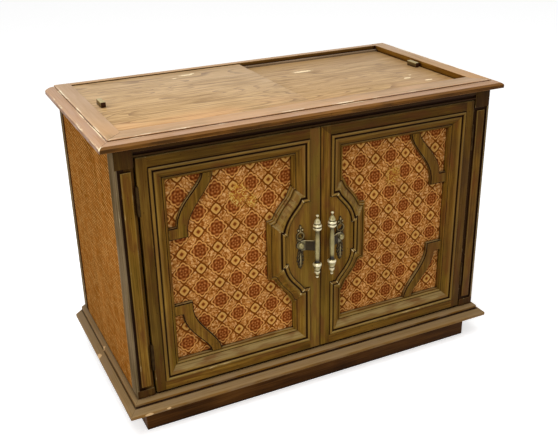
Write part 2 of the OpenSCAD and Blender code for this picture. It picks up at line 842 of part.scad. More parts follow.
deck_w = 335;
deck_d = 285;
deck_t = 3;
tray_w = 300;
tray_d = 250;
tray_h = 50;
tray_play = 1.5;
deck_shift = 11;
deck_x = -(well_half + glide_seam) / 2 - deck_shift;
deck_y = well_mid_y;
amp_w = 300;
amp_d = 90;
amp_t = 3;
chassis_w = 276;
chassis_d = 70;
chassis_h = 45;
amp_in = 25;
amp_x = (well_half + glide_seam) / 2;
amp_y = well_front + ledge_w + amp_in + amp_d / 2;

// The space of the deck's tray and of the amplifier's chassis, wider by some play
module hung_space(play) {
    block(deck_x - tray_w / 2 - play, deck_x + tray_w / 2 + play,
        deck_y - tray_d / 2 - play, deck_y + tray_d / 2 + play, well_floor - tray_h - play, well_floor + bond);
    block(amp_x - chassis_w / 2 - play, amp_x + chassis_w / 2 + play,
        amp_y - chassis_d / 2 - play, amp_y + chassis_d / 2 + play, well_floor - chassis_h - play, well_floor + bond);
}
module motor_board() {
    color(inside_colour) seat() difference() {
        inner_board(motor_z, board_t, inner_y);
        hung_space(tray_play);
    }
}

// Partitions beside the record bay, which carry the motor board and are cut out under the deck
module divider(side) {
    difference() {
        flip(side) block(-bay_half - board_t, -bay_half, inner_y, back_y, ledge_z + board_t, motor_z);
        hung_space(tray_play);
    }
}
module left_divider() {
    color(inside_colour) seat() divider(-1);
}
module right_divider() {
    color(inside_colour) seat() divider(1);
}

// Speakers behind the outer part of each door
baffle_x = -(bay_half + inner_post_x) / 2;
speaker_z = ledge_z + board_t + bay_h / 2;
module baffle() {
    difference() {
        block(-inner_post_x, -bay_half, face_y, inner_y, ledge_z + board_t, motor_z);
        translate([baffle_x, face_y - 1, speaker_z]) rotate([-90, 0, 0]) cylinder(r = cone_r, h = face_t + 2);
    }
}
module left_speaker_baffle() {
    color(inside_colour) seat() baffle();
}
module right_speaker_baffle() {
    color(inside_colour) seat() flip(1) baffle();
}

// Loudspeaker: rim, paper cone with a dust cap, basket and magnet
rim_w = 9;
rim_t = 4;
basket_d = 52;
magnet_r = 36;
magnet_d = 24;
coil_r = 20;
surround_w = 9;
module speaker() {
    translate([baffle_x, inner_y, speaker_z]) rotate([-90, 0, 0]) rotate_extrude() polygon(concat(
        [[cone_r + rim_w, 0], [cone_r + rim_w, rim_t], [cone_r + 2, rim_t], [magnet_r + 6, basket_d],
         [magnet_r, basket_d], [magnet_r, basket_d + magnet_d], [0, basket_d + magnet_d]],
        [[0, 22]], arc(0, 48, 26, -90, -40, 5),
        [[coil_r + 2, 34], [cone_r - surround_w - 3, 5], [cone_r - surround_w, 2.5],
         [cone_r - surround_w / 2, 1], [cone_r - 1, 3], [cone_r, 0]]
    ));
}
module left_speaker() {
    color(metal_colour) seat() speaker();
}
module right_speaker() {
    color(metal_colour) seat() flip(1) speaker();
}

// Record deck
spindle_r = 3.6;
spindle_play = 0.05;
spindle_reach = 36;
flange_r = 12;
flange_t = 1.6;
deck_boss_r = 16;
deck_boss_h = 2;
platter_shift = 11;
platter_x = deck_x - platter_shift;
platter_web = 6;
platter_rim_w = 8;
hub_r = 20;
spindle_z = well_floor + deck_t + deck_boss_h;
platter_z = spindle_z + flange_t + glide_gap;
mat_t = 4;
mat_z = platter_z + platter_h;
spindle_top = mat_z + mat_t + spindle_reach;
arm_inset = 32;
arm_in = 56.5;
arm_rise = 14;
arm_x = deck_x + deck_w / 2 - arm_inset;
arm_y = deck_y + deck_d / 2 - arm_in;
arm_z = mat_z + mat_t + arm_rise;
arm_base_r = 22;
arm_base_h = 12;
yoke_z = well_floor + deck_t + arm_base_h + glide_gap;
module deck_plate() {
    color("#3d3a36") seat() {
        block(deck_x - deck_w / 2, deck_x + deck_w / 2, deck_y - deck_d / 2, deck_y + deck_d / 2,
            well_floor, well_floor + deck_t);
        block(deck_x - tray_w / 2, deck_x + tray_w / 2, deck_y - tray_d / 2, deck_y + tray_d / 2,
            well_floor - tray_h, well_floor + bond);
        translate([platter_x, deck_y, well_floor]) cylinder(r = deck_boss_r, h = deck_t + deck_boss_h);
        translate([arm_x, arm_y, well_floor]) cylinder(r = arm_base_r, h = deck_t + arm_base_h);
    }
}
// A tall spindle on a thrust flange, as a record changer has
module centre_spindle() {
    tip_r = 3;
    tip_z = spindle_top - spindle_z;
    color(metal_colour) seat() translate([platter_x, deck_y, spindle_z]) rotate_extrude() polygon(concat(
        [[0, 0], [flange_r, 0], [flange_r, flange_t], [spindle_r, flange_t], [spindle_r, tip_z - tip_r]],
        arc(spindle_r - tip_r, tip_z - tip_r, tip_r, 0, 78, 5), [[0, tip_z]]
    ));
}
module platter() {
    rim_x = platter_r - platter_rim_w;
    color("#b9b4a8") seat() translate([platter_x, deck_y, platter_z]) difference() {
        union() {
            rotate_extrude() polygon([
                [0, platter_web], [rim_x, platter_web], [rim_x + 2, 0], [platter_r - 1.5, 0], [platter_r, 3],
                [platter_r, platter_h - 2], [platter_r - 2, platter_h], [0, platter_h]
            ]);
            cylinder(r = hub_r, h = platter_web + bond);
        }
        translate([0, 0, -1]) cylinder(r = spindle_r + spindle_play, h = platter_h + 2);
    }
}
// A rubber mat with sunk rings
ring_pitch = 14;
ring_w = 3;
ring_d = 1;
module platter_mat() {
    color("#26221f") seat() translate([platter_x, deck_y, mat_z]) difference() {
        cylinder(r = platter_r - 3, h = mat_t);
        translate([0, 0, -1]) cylinder(r = spindle_r + 1, h = mat_t + 2);
        for (r = [45 : ring_pitch : platter_r - 12])
            translate([0, 0, mat_t - ring_d]) rotate_extrude() translate([r, 0]) square([ring_w, ring_d + 1]);
    }
}
// The yoke swings on its base and carries the arm between two ears
yoke_r = 17;
yoke_h = 6;
ear_gap = 14;
ear_t = 5;
ear_w = 18;
ear_over = 7;
module tonearm_pivot() {
    ear_h = arm_z + ear_over - yoke_z;
    color("#3d3a36") seat() translate([arm_x, arm_y, yoke_z]) {
        cylinder(r = yoke_r, h = yoke_h);
        for (x = [-ear_gap / 2 - ear_t, ear_gap / 2]) block(x, x + ear_t, -ear_w / 2, ear_w / 2, yoke_h - 1, ear_h);
    }
}
// Tube, cross pin, counterweight, cartridge shell and stylus block
arm_tube_r = 4;
arm_pin_r = 5.5;
shell_l = 36;
shell_over = 6;
weight_r = 13;
weight_l = 26;
weight_y = 26;
stylus_drop = 10.5;
module tonearm() {
    color(metal_colour) seat() translate([arm_x, arm_y, arm_z]) {
        translate([0, weight_y + bond, 0]) rotate([90, 0, 0])
            cylinder(r = arm_tube_r, h = arm_l - shell_l + shell_over + weight_y + 2 * bond);
        translate([-ear_gap / 2 + glide_gap, 0, 0]) rotate([0, 90, 0])
            cylinder(r = arm_pin_r, h = ear_gap - 2 * glide_gap);
        translate([0, weight_y + weight_l, 0]) rotate([90, 0, 0]) cylinder(r = weight_r, h = weight_l);
        along_y(-arm_l - shell_over, -arm_l - shell_over + shell_l)
            polygon([[-8, 4], [8, 4], [9, -1], [6, -6], [-6, -6], [-9, -1]]);
        block(-3, 3, -arm_l - 2, -arm_l + 12, -stylus_drop, -5);
    }
}

// Amplifier with its plate; two short shafts carry the knobs
shaft_r = 3;
shaft_play = 0.05;
shaft_h = 12;
knob_r = 14;
knob_h = 18;
knob_pitch = 60;
bush_r = 7;
bush_h = 1.5;
module amplifier() {
    color("#4a443b") seat() {
        block(amp_x - amp_w / 2, amp_x + amp_w / 2, amp_y - amp_d / 2, amp_y + amp_d / 2,
            well_floor, well_floor + amp_t);
        block(amp_x - chassis_w / 2, amp_x + chassis_w / 2, amp_y - chassis_d / 2, amp_y + chassis_d / 2,
            well_floor - chassis_h, well_floor + bond);
        for (s = [-1, 1]) translate([amp_x + s * knob_pitch, amp_y, well_floor]) {
            cylinder(r = bush_r, h = amp_t + bush_h);
            cylinder(r = shaft_r, h = amp_t + bush_h + shaft_h);
        }
    }
}
module knob(s) {
    translate([amp_x + s * knob_pitch, amp_y, well_floor + amp_t + bush_h + glide_gap]) difference() {
        union() {
            rotate_extrude() polygon([
                [0, 0], [knob_r + 2, 0], [knob_r + 2, 2], [knob_r, 4], [knob_r - 1, knob_h - 2],
                [knob_r - 3, knob_h], [0, knob_h]
            ]);
            block(-1, 1, -knob_r - 1.6, -6, 1, knob_h - 4);
        }
        translate([0, 0, -1]) cylinder(r = shaft_r + shaft_play, h = shaft_h + 1);
    }
}
module volume_knob() {
    color("#c2b48a") seat() knob(-1);
}
module tone_knob() {
    color("#c2b48a") seat() knob(1);
}

plinth_front();
plinth_back();
plinth_left();
plinth_right();
base_moulding_front();
base_moulding_left();
base_moulding_right();
bottom_board();
left_side_panel();
right_side_panel();
left_front_post();
right_front_post();
left_rear_post();
right_rear_post();
front_top_rail();
well_front_board();
back_panel();
back_panel_screws();
top_frame_front();
top_frame_back();
top_frame_left();
top_frame_right();
front_panel_track();
back_panel_track();
motor_board();
left_divider();
right_divider();
left_speaker_baffle();
right_speaker_baffle();
left_speaker();
right_speaker();
ball_catches();
cabinet_hinge_leaves();
deck_plate();
centre_spindle();
amplifier();
platter();
platter_mat();
tonearm_pivot();
tonearm();
volume_knob();
tone_knob();
left_top_panel();
left_panel_pull();
right_top_panel();
right_panel_pull();
left_door_frame();
left_door_moulding();
left_door_braces();
left_grille_cloth();
left_pull_plate();
left_pull_bar();
left_door_hinge_leaves();
right_door_frame();
right_door_moulding();
right_door_braces();
right_grille_cloth();
right_pull_plate();
right_pull_bar();
right_door_hinge_leaves();
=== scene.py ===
import json
import math

import bpy
from mathutils import Matrix, Vector, noise

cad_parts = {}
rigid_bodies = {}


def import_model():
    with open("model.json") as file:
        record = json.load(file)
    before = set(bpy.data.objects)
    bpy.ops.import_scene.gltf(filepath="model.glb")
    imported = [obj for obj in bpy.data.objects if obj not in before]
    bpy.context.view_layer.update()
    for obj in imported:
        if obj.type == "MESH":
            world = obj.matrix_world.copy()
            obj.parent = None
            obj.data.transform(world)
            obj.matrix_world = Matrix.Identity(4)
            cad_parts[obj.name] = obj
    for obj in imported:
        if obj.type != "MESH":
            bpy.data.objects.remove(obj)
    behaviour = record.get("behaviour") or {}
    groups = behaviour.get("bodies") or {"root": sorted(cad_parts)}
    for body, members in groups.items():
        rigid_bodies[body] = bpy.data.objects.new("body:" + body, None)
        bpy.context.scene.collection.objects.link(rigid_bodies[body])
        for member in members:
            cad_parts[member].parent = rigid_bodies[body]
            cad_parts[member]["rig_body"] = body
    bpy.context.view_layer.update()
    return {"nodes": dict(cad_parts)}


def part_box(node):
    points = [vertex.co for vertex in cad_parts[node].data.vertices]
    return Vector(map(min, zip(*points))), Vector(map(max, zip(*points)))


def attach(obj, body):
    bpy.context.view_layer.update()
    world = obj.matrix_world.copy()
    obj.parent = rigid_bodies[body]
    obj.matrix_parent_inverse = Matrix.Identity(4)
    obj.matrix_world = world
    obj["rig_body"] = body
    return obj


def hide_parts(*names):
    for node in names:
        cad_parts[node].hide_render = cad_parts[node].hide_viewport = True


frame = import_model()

# Lengths are in millimetres where a name ends in _MM or _mm, or a value is times MM.
MM = 0.001


# ------------------------------------------------------------------ sizes, read from the frame

def cad_mm(node, end, axis):
    """A side of a CAD node's box in millimetres: end is 0 for its low side and 1 for its high side."""
    return round(getattr(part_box(node)[end], axis) / MM, 2)


FRONT_MM = cad_mm("left_door_frame", 0, "y")
BACK_MM = cad_mm("top_frame_left", 1, "y")
CARCASS_HALF_MM = -cad_mm("left_side_panel", 0, "x")
# The foot of the base moulding, the ledge that the posts stand on, and the underside of the top
FOOT_MM = cad_mm("base_moulding_front", 0, "z")
LEDGE_MM = cad_mm("left_front_post", 0, "z")
HEAD_MM = cad_mm("left_front_post", 1, "z")
RAIL_FOOT_MM = cad_mm("front_top_rail", 0, "z")
POST_HALF_MM = (cad_mm("left_front_post", 1, "x") + CARCASS_HALF_MM) / 2
REAR_POST_Y_MM = cad_mm("left_rear_post", 0, "y")
TOP_HALF_MM = -cad_mm("top_frame_left", 0, "x")
TOP_FRONT_MM = cad_mm("top_frame_front", 0, "y")
# A door's hinge edge and lower edge, its height and its thickness
DOOR_X_MM = -cad_mm("left_door_frame", 0, "x")
DOOR_Z_MM = cad_mm("left_door_frame", 0, "z")
DOOR_H_MM = cad_mm("left_door_frame", 1, "z") - DOOR_Z_MM
DOOR_T_MM = cad_mm("left_door_frame", 1, "y") - FRONT_MM
MID_Z_MM = DOOR_H_MM / 2
# The outer line of the picture moulding, from the door's hinge edge and lower edge
BORDER_MM = cad_mm("left_door_moulding", 0, "z") - DOOR_Z_MM
FRAME_X1_MM = cad_mm("left_door_moulding", 1, "x") + DOOR_X_MM
FRAME_Z1_MM = cad_mm("left_door_moulding", 1, "z") - DOOR_Z_MM


# ------------------------------------------------------------------ materials

def linear(hex_value):
    """An sRGB hex colour as the linear numbers that a socket takes."""
    parts = [int(hex_value[i:i + 2], 16) / 255 for i in (1, 3, 5)]
    return [c / 12.92 if c <= 0.04045 else ((c + 0.055) / 1.055) ** 2.4 for c in parts] + [1.0]


def add(owner, kind, feeds=None, stops=None, **settings):
    """Adds a node to a material or the world. kind is its type and, after a space, its operation.
    feeds gives each socket, by name or place, a value, a colour or another node."""
    kind, *operation = kind.split()
    new = owner.node_tree.nodes.new("ShaderNode" + kind)
    if operation:
        new.operation = operation[0]
    for key, value in settings.items():
        setattr(new, key, value)
    if stops:
        ramp = new.color_ramp
        while len(ramp.elements) < len(stops):
            ramp.elements.new(0.5)
        for element, (place, colour) in zip(ramp.elements, stops):
            element.position = place
            element.color = linear(colour)
    for key, value in (feeds or {}).items():
        sockets = [s for s in new.inputs if s.enabled]
        socket = sockets[key] if isinstance(key, int) else next(s for s in sockets if s.name == key)
        if isinstance(value, bpy.types.Node):
            value = next(s for s in value.outputs if s.enabled)
        if isinstance(value, bpy.types.NodeSocket):
            owner.node_tree.links.new(value, socket)
        else:
            socket.default_value = linear(value) if isinstance(value, str) else value
    return new


def new_material(name):
    """A material with no nodes yet."""
    material = bpy.data.materials.new(name)
    material.use_nodes = True
    material.node_tree.nodes.clear()
    return material


def surfaced(m, colour, rough, relief, strength, deep_mm, sheen, metallic=0.0):
    """Ends a material: its colour, its roughness and a relief of a real depth on one shader."""
    bump = add(m, "Bump", {"Height": relief, "Strength": strength, "Distance": deep_mm * MM})
    shader = add(m, "BsdfPrincipled", {"Base Color": colour, "Roughness": rough, "Normal": bump,
                                       "Metallic": metallic, "Specular IOR Level": sheen})
    add(m, "OutputMaterial", {"Surface": shader})
    return m


# Woods. A pattern follows the grain: place is a point in its board in metres, x along the grain, and
# the three numbers that place is multiplied by are the pattern's features in a metre, along and across.

def growth_rings(m, place, fine, figure):
    """Rings of a flat-sawn board: contours of a slow swell, 8 to 20 mm apart, nested in arches."""
    swell = add(m, "TexNoise", {
        "Vector": add(m, "VectorMath MULTIPLY", {0: place, 1: (1.5, 9, 0)}),
        "Scale": 1.0, "Detail": 1.2, "Roughness": 0.4})
    ring = add(m, "Math FRACT", {0: add(m, "Math MULTIPLY", {0: swell, 1: 26.0})})
    late = add(m, "MapRange", {"Value": ring, "From Min": 0.7, "From Max": 0.96, "To Max": 1.0},
               interpolation_type="SMOOTHSTEP")
    broken = add(m, "MapRange", {"Value": fine, "From Min": 0.38, "From Max": 0.62})
    late = add(m, "Math MULTIPLY", {0: late, 1: broken})
    return add(m, "Math MULTIPLY", {0: late, 1: figure})


def embossed_ticks(m, place, share, lit, shaded, scuffed):
    """Coats for ticks pressed across a veneer, at a low slant up to the front, each with a painted lit side
    and a painted shaded side.
    They are drawn coarser than real ones, 8.4 mm apart, so that they show, and stand in patches 10 by 24 mm."""
    slant = add(m, "Mapping", {"Vector": place, "Rotation": (0, math.radians(-8), 0)})
    ticks = add(m, "TexWave", {"Vector": slant, "Scale": math.tau / 20 / (8.4 * MM), "Distortion": 1.4,
                               "Detail": 1.0, "Detail Scale": 1.0}, bands_direction="X")
    patchy = add(m, "TexNoise", {
        "Vector": add(m, "VectorMath MULTIPLY", {0: place, 1: (100, 1, 42)}),
        "Scale": 1.0, "Detail": 3.0})
    shows = add(m, "MapRange", {"Value": patchy, "From Min": 0.38, "From Max": 0.62, "To Max": share})
    coats = []
    for high, tone in ((0.85, lit), (0.15, shaded)):
        side = add(m, "MapRange", {"Value": ticks, "From Min": 0.5, "From Max": high})
        coats.append((add(m, "Math MULTIPLY", {0: side, 1: shows}), tone))
    fleck = add(m, "TexNoise", {
        "Vector": add(m, "VectorMath MULTIPLY", {0: place, 1: (260, 1, 120)}),
        "Scale": 1.0, "Detail": 2.0})
    pale = add(m, "MapRange", {"Value": fleck, "From Min": 0.62, "From Max": 0.76, "To Max": share})
    return coats + [(pale, scuffed)]


def spattered(m, place, share):
    """Dark flecks flicked on by the finisher, 1 to 2 mm across."""
    dots = add(m, "TexVoronoi", {
        "Vector": add(m, "VectorMath MULTIPLY", {0: place, 1: (55, 80, 80)}), "Scale": 1.0})
    return add(m, "MapRange", {"Value": dots.outputs["Distance"], "From Min": 0.13, "From Max": 0.07,
                               "To Max": share})


def shade_and_tone_stretch(m, here, cloud, axis, start_mm, end_mm, share):
    """A stretch of the cabinet, from start to end along an axis, where the finish turns in patches to
    another tone. It serves for painted shade, where less light falls on the right and under the top, and for
    changes in the finish itself.
    """
    way = add(m, "SeparateXYZ", {0: here}).outputs[axis]
    along = add(m, "MapRange", {"Value": way, "From Min": start_mm * MM, "From Max": end_mm * MM})
    patchy = add(m, "MapRange", {"Value": cloud, "From Min": 0.4, "From Max": 0.6, "To Max": share})
    return add(m, "Math MULTIPLY", {0: along, 1: patchy})


def dust_and_top_light(m, fine):
    """Faces that look up, made paler and greyer than the rest: partly dirt and rubbing, partly painted light
    from above.
    """
    rise = add(m, "SeparateXYZ", {0: add(m, "NewGeometry").outputs["True Normal"]}).outputs["Z"]
    looks_up = add(m, "MapRange", {"Value": rise, "From Min": 0.1, "From Max": 0.6})
    streaky = add(m, "MapRange", {"Value": fine, "From Min": 0.34, "From Max": 0.56, "To Min": 0.45,
                                  "To Max": 0.9})
    return add(m, "Math MULTIPLY", {0: looks_up, 1: streaky})


def stained(m, place):
    """Patches 20 to 60 mm long where another coat shows through."""
    patches = add(m, "TexNoise", {
        "Vector": add(m, "VectorMath MULTIPLY", {0: place, 1: (16, 60, 60)}),
        "Scale": 1.0, "Detail": 3.0})
    return add(m, "MapRange", {"Value": patches, "From Min": 0.48, "From Max": 0.66, "To Max": 0.7})


def glaze_and_corner_shade(m, share):
    """Darkening in the corners, found by ambient occlusion: glaze on the stained wood, and painted shade in
    corners and between parts. To it comes what the piece marks: glaze in its grooves, and painted shade
    where it lies in shade.
    """
    corner = add(m, "AmbientOcclusion", {"Distance": 10 * MM}, samples=6)
    hollow = add(m, "MapRange", {"Value": corner.outputs["AO"], "From Min": 0.74, "From Max": 0.5,
                                 "To Max": share})
    groove = add(m, "Attribute", attribute_name="glaze").outputs["Fac"]
    return add(m, "Math ADD", {0: hollow, 1: groove}, use_clamp=True)


def worn_bare(m, place, here, edge, wear, chips):
    """Long streaks along the edges that are worn through to the pale ground, and chips, each with its
    place and its length and width in millimetres."""
    rubbed = add(m, "TexNoise", {
        "Vector": add(m, "VectorMath MULTIPLY", {0: place, 1: (11, 70, 70)}),
        "Scale": 1.0, "Detail": 5.0, "Roughness": 0.7})
    bare = add(m, "MapRange", {"Value": add(m, "Math ADD", {0: edge, 1: rubbed}),
                               "From Min": 1.66 - 0.2 * wear, "From Max": 1.76 - 0.2 * wear})
    for x, y, z, long, wide in chips:
        off = add(m, "VectorMath SUBTRACT", {0: here, 1: (x * MM, y * MM, z * MM)})
        off = add(m, "VectorMath MULTIPLY", {0: off, 1: (1 / (long * MM), 1 / (wide * MM), 1 / (wide * MM))})
        away = add(m, "VectorMath LENGTH", {0: off}).outputs["Value"]
        torn = add(m, "TexNoise", {"Vector": here, "Scale": 170.0, "Detail": 3.0})
        ragged = add(m, "Math ADD", {0: away, 1: torn})
        chip = add(m, "MapRange", {"Value": ragged, "From Min": 1.3, "From Max": 1.1})
        bare = add(m, "Math MAXIMUM", {0: bare, 1: chip})
    return bare


def coloured_wood(name, tones, glaze, worn, rub, tint=None, ground=None, hatch=0.0, figure=0.0,
                  streak_mm=2.2, roughness=0.5, glaze_and_shade_share=1.0, wear=0.5, speck=0.5, sheen=0.35, dust_and_light=None,
                  chips=(), shade_and_tone_stretches=(), patch=None, shares=(0.5, 0.36, 0.3)):
    """Stained wood or wood-grain laminate: four tones of grain, then coats that each cover a share of
    what lies below. glaze, worn, rub, tint, ground, dust_and_light and patch are tones, glaze being
    also that of painted shade, and ground that of growth rings and of the ticks' painted shaded sides.
    hatch, figure, glaze_and_shade_share, wear and speck say how much there is of ticks, rings, corner
    darkening, bare edges and flecks. Each of shade_and_tone_stretches is an axis, a start and an end in
    millimetres, a tone and a share. A piece carries the attributes grain, worn and glaze: worn holds wear
    and painted highlight, and glaze holds glaze and painted shade."""
    m = new_material(name)
    place = add(m, "Attribute", attribute_name="grain").outputs["Vector"]
    edge = add(m, "Attribute", attribute_name="worn").outputs["Fac"]
    here = add(m, "TexCoord").outputs["Object"]
    # Fine streaks, drawn a few millimetres across so that they show
    across = 1 / (streak_mm * MM)
    fine = add(m, "TexNoise", {
        "Vector": add(m, "VectorMath MULTIPLY", {0: place, 1: (9, across, across)}),
        "Scale": 1.0, "Detail": 4.0, "Roughness": 0.62})
    # Bands of early and late wood, 10 to 30 mm across, bent by a slow wander of the grain
    wander = add(m, "TexNoise", {
        "Vector": add(m, "VectorMath MULTIPLY", {0: place, 1: (3.2, 9, 9)}),
        "Scale": 1.0, "Detail": 2.0})
    bend = add(m, "VectorMath MULTIPLY", {0: wander.outputs["Color"], 1: (0, 0.05 + 0.12 * figure, 0.05)})
    bent = add(m, "VectorMath ADD", {0: place, 1: bend})
    band = add(m, "TexNoise", {
        "Vector": add(m, "VectorMath MULTIPLY", {0: bent, 1: (1.3, 75, 75)}),
        "Scale": 1.0, "Detail": 3.0, "Roughness": 0.55})
    # Cloudy patches from the wiped stain, 40 to 100 mm
    cloud = add(m, "TexNoise", {
        "Vector": add(m, "VectorMath MULTIPLY", {0: place, 1: (8, 17, 17)}),
        "Scale": 1.0, "Detail": 3.0})
    mixed = add(m, "Math MULTIPLY", {0: cloud, 1: shares[2]})
    mixed = add(m, "Math MULTIPLY_ADD", {0: band, 1: shares[1], 2: mixed})
    mixed = add(m, "Math MULTIPLY_ADD", {0: fine, 1: shares[0], 2: mixed})
    colour = add(m, "ValToRGB", {"Fac": mixed}, stops=list(zip((0.44, 0.54, 0.62, 0.72), tones)))
    coats = []
    if tint:
        coats.append((add(m, "MapRange", {"Value": wander.outputs["Fac"], "From Min": 0.46,
                                          "From Max": 0.66, "To Max": 0.6}), tint))
    if figure:
        coats.append((growth_rings(m, place, fine, figure), ground))
    if hatch:
        coats += embossed_ticks(m, place, hatch, rub, ground, worn)
    if speck:
        coats.append((spattered(m, place, speck), glaze))
    for axis, start_mm, end_mm, tone, share in shade_and_tone_stretches:
        coats.append((shade_and_tone_stretch(m, here, cloud, axis, start_mm, end_mm, share), tone))
    if dust_and_light:
        coats.append((dust_and_top_light(m, fine), dust_and_light))
    if patch:
        coats.append((stained(m, place), patch))
    # What the piece marks as worn is lighter all along, wear and painted highlight together, and in places
    # bare
    coats += [(add(m, "Math MULTIPLY", {0: edge, 1: 0.5}), rub),
              (glaze_and_corner_shade(m, glaze_and_shade_share), glaze), (worn_bare(m, place, here, edge, wear, chips), worn)]
    for share, tone in coats:
        colour = add(m, "Mix", {"Factor": share, "A": colour, "B": tone}, data_type="RGBA")
    rough = add(m, "MapRange", {"Value": mixed, "From Min": 0.4, "From Max": 0.7,
                                "To Min": roughness + 0.1, "To Max": roughness - 0.06})
    return surfaced(m, colour, rough, fine, 0.25, 0.4, sheen)


# Pecan veneer and poplar mouldings, stained olive brown and wiped with a near-black glaze; paler where they
# look up, from dirt and painted light, and painted darker to the right and near the top as shade
antiqued_wood = coloured_wood(
    "pecan_antiqued_olive", ("#432b0a", "#634410", "#7c581b", "#936f29"), "#220f03", "#cdb684", "#8d7238",
    tint="#614c13", dust_and_light="#8b754a", wear=0.3, sheen=0.04, patch="#5e3614",
    shade_and_tone_stretches=(("X", 100, 450, "#3b210f", 0.75), ("Z", 480, 660, "#2c1808", 0.5)))
# The posts' outer sides, handled and sun-bleached to a greyer olive
greyed_wood = coloured_wood(
    "pecan_bleached_olive", ("#4d3e25", "#67553a", "#78654a", "#8d7a60"), "#1f0d02", "#b7a684", "#8f7d58",
    wear=0.4, sheen=0.0, speck=0.3)
# Lacquered dark stain on the plinth, painted darker as the shade there, since the light hardly reaches it
plinth_wood = coloured_wood(
    "poplar_stain_painted_shade", ("#281402", "#3c2106", "#4a2b0a", "#5c3913"), "#140701", "#8a6a44", "#5e3d1a",
    wear=0.0, speck=0.0, roughness=0.55, sheen=0.04)
# Printed walnut laminate of the gliding panels: pale, dry and scuffed, orange toward the front, and painted
# darker to the right as shade
panel_laminate = coloured_wood(
    "walnut_laminate_faded", ("#85643a", "#ad8a59", "#be9a68", "#cca878"), "#2c1305", "#f6e0b4", "#d4b184",
    ground="#6a4720", figure=1.0, streak_mm=4.6, speck=0.0, roughness=0.45, glaze_and_shade_share=0.2, sheen=0.25,
    wear=0.2, shares=(0.66, 0.26, 0.24),
    shade_and_tone_stretches=(("X", -120, 380, "#9f7a4c", 0.75), ("Y", -80, -200, "#cb8a54", 0.6)),
    chips=((-149, 193, 689, 24, 7), (-132, 200, 689, 9, 4), (-186, 176, 689, 10, 4), (330, -61, 677, 15, 6),
           (365, -100, 677, 16, 6), (352, -40, 677, 6, 3), (138, 123, 677, 36, 9), (23, 142, 677, 5, 3)))
# Members of the top: the same walnut on solid wood, browner and smoother, orange toward the front, and
# painted darker at the right end as shade
member_wood = coloured_wood(
    "walnut_member_faded", ("#846135", "#9a7447", "#a67e51", "#b38c5f"), "#2c1305", "#f8e8c6", "#d3af84",
    ground="#916741", figure=0.3, streak_mm=4.6, speck=0.0, roughness=0.42, glaze_and_shade_share=0.8, sheen=0.2,
    tint="#ac8763", shade_and_tone_stretches=(("Y", -40, -200, "#b98650", 0.8), ("X", 400, 440, "#98734f", 0.7)), wear=0.75,
    chips=((-437, -224, 692, 12, 5), (-420, -221, 692, 5, 3)))
# Walls of the well under the members, stained golden brown and never bleached
well_wood = coloured_wood(
    "walnut_well_stained", ("#4a2a08", "#6a4410", "#7d5518", "#946a26"), "#241003", "#d9b679", "#8f6e46",
    wear=0.0, speck=0.0, sheen=0.05)
# Moulded edge of the top: orange brown below, painted lighter tan where it looks up, as the light from
# above, and darker to the right as shade; rubbed along its arrises
edge_wood = coloured_wood(
    "pecan_edge_rubbed", ("#5b360d", "#764b1c", "#875825", "#986834"), "#2a1204", "#f7e4bd", "#cca37c",
    tint="#855629", wear=0.75, roughness=0.45, dust_and_light="#b08d70", sheen=0.1, patch="#a58775",
    shade_and_tone_stretches=(("X", 0, 470, "#7c5830", 0.8),), chips=((-481, -234, 684, 9, 9),))
# Its front lower edge, painted darker as the shade that the light from above leaves on it
edge_wood_painted_shade = coloured_wood(
    "pecan_edge_painted_shade", ("#3a2007", "#52310d", "#664014", "#7a5220"), "#241003", "#e8cf9c", "#94683a",
    wear=0.5, sheen=0.05, patch="#33200c")
# Base moulding: orange brown, greyer where it looks up, from dirt and painted light, chipped to pale gold
# along its lip
base_wood = coloured_wood(
    "pecan_base_rubbed", ("#49290c", "#61400f", "#724c1a", "#835d29"), "#1d0c03", "#c6a273", "#94764a",
    tint="#664a1c", wear=0.8, roughness=0.5, dust_and_light="#7d6849", sheen=0.04, patch="#7a644a",
    chips=((-481, 22, 72, 9, 12), (-465, 29, 86, 9, 8), (-440, -249, 66, 12, 6), (-395, -249, 68, 8, 4)))
# Block pulls of the gliding panels: ends painted dark as shade, tops pale from rubbing and painted light
block_wood = coloured_wood(
    "oak_block_pull", ("#4a381a", "#5d4824", "#6b552e", "#7b643a"), "#2c1304", "#dccfa4", "#a08c5c",
    wear=0.3, speck=0.0, dust_and_light="#b7a67a", sheen=0.1)
# Oak-grain veneer of the sides, orange brown with embossed ticks, each painted with a lit and a shaded side
side_veneer = coloured_wood(
    "oak_veneer_embossed", ("#734410", "#85501a", "#925b23", "#a66e33"), "#2a0c04", "#c89858", "#c89450",
    ground="#4a2807", hatch=0.72, speck=0.0, roughness=0.6, sheen=0.0, wear=0.0)
# Raw chipboard and hardboard of the inside: pale, mottled and matt
inner_wood = coloured_wood(
    "chipboard_raw", ("#6d5a42", "#80694d", "#8e765a", "#9d866a"), "#3b2a1a", "#b7a58a", "#a08a6c",
    streak_mm=1.6, speck=0.3, roughness=0.8, wear=0.1)


# The cloth's print repeats from rosette to rosette. Its places below are shares of a repeat.
REPEAT_X_MM, REPEAT_Z_MM = 82.8, 88.2
# From the middle of a stripe to the lattice line along its edge
HALF_STRIPE = 0.1825


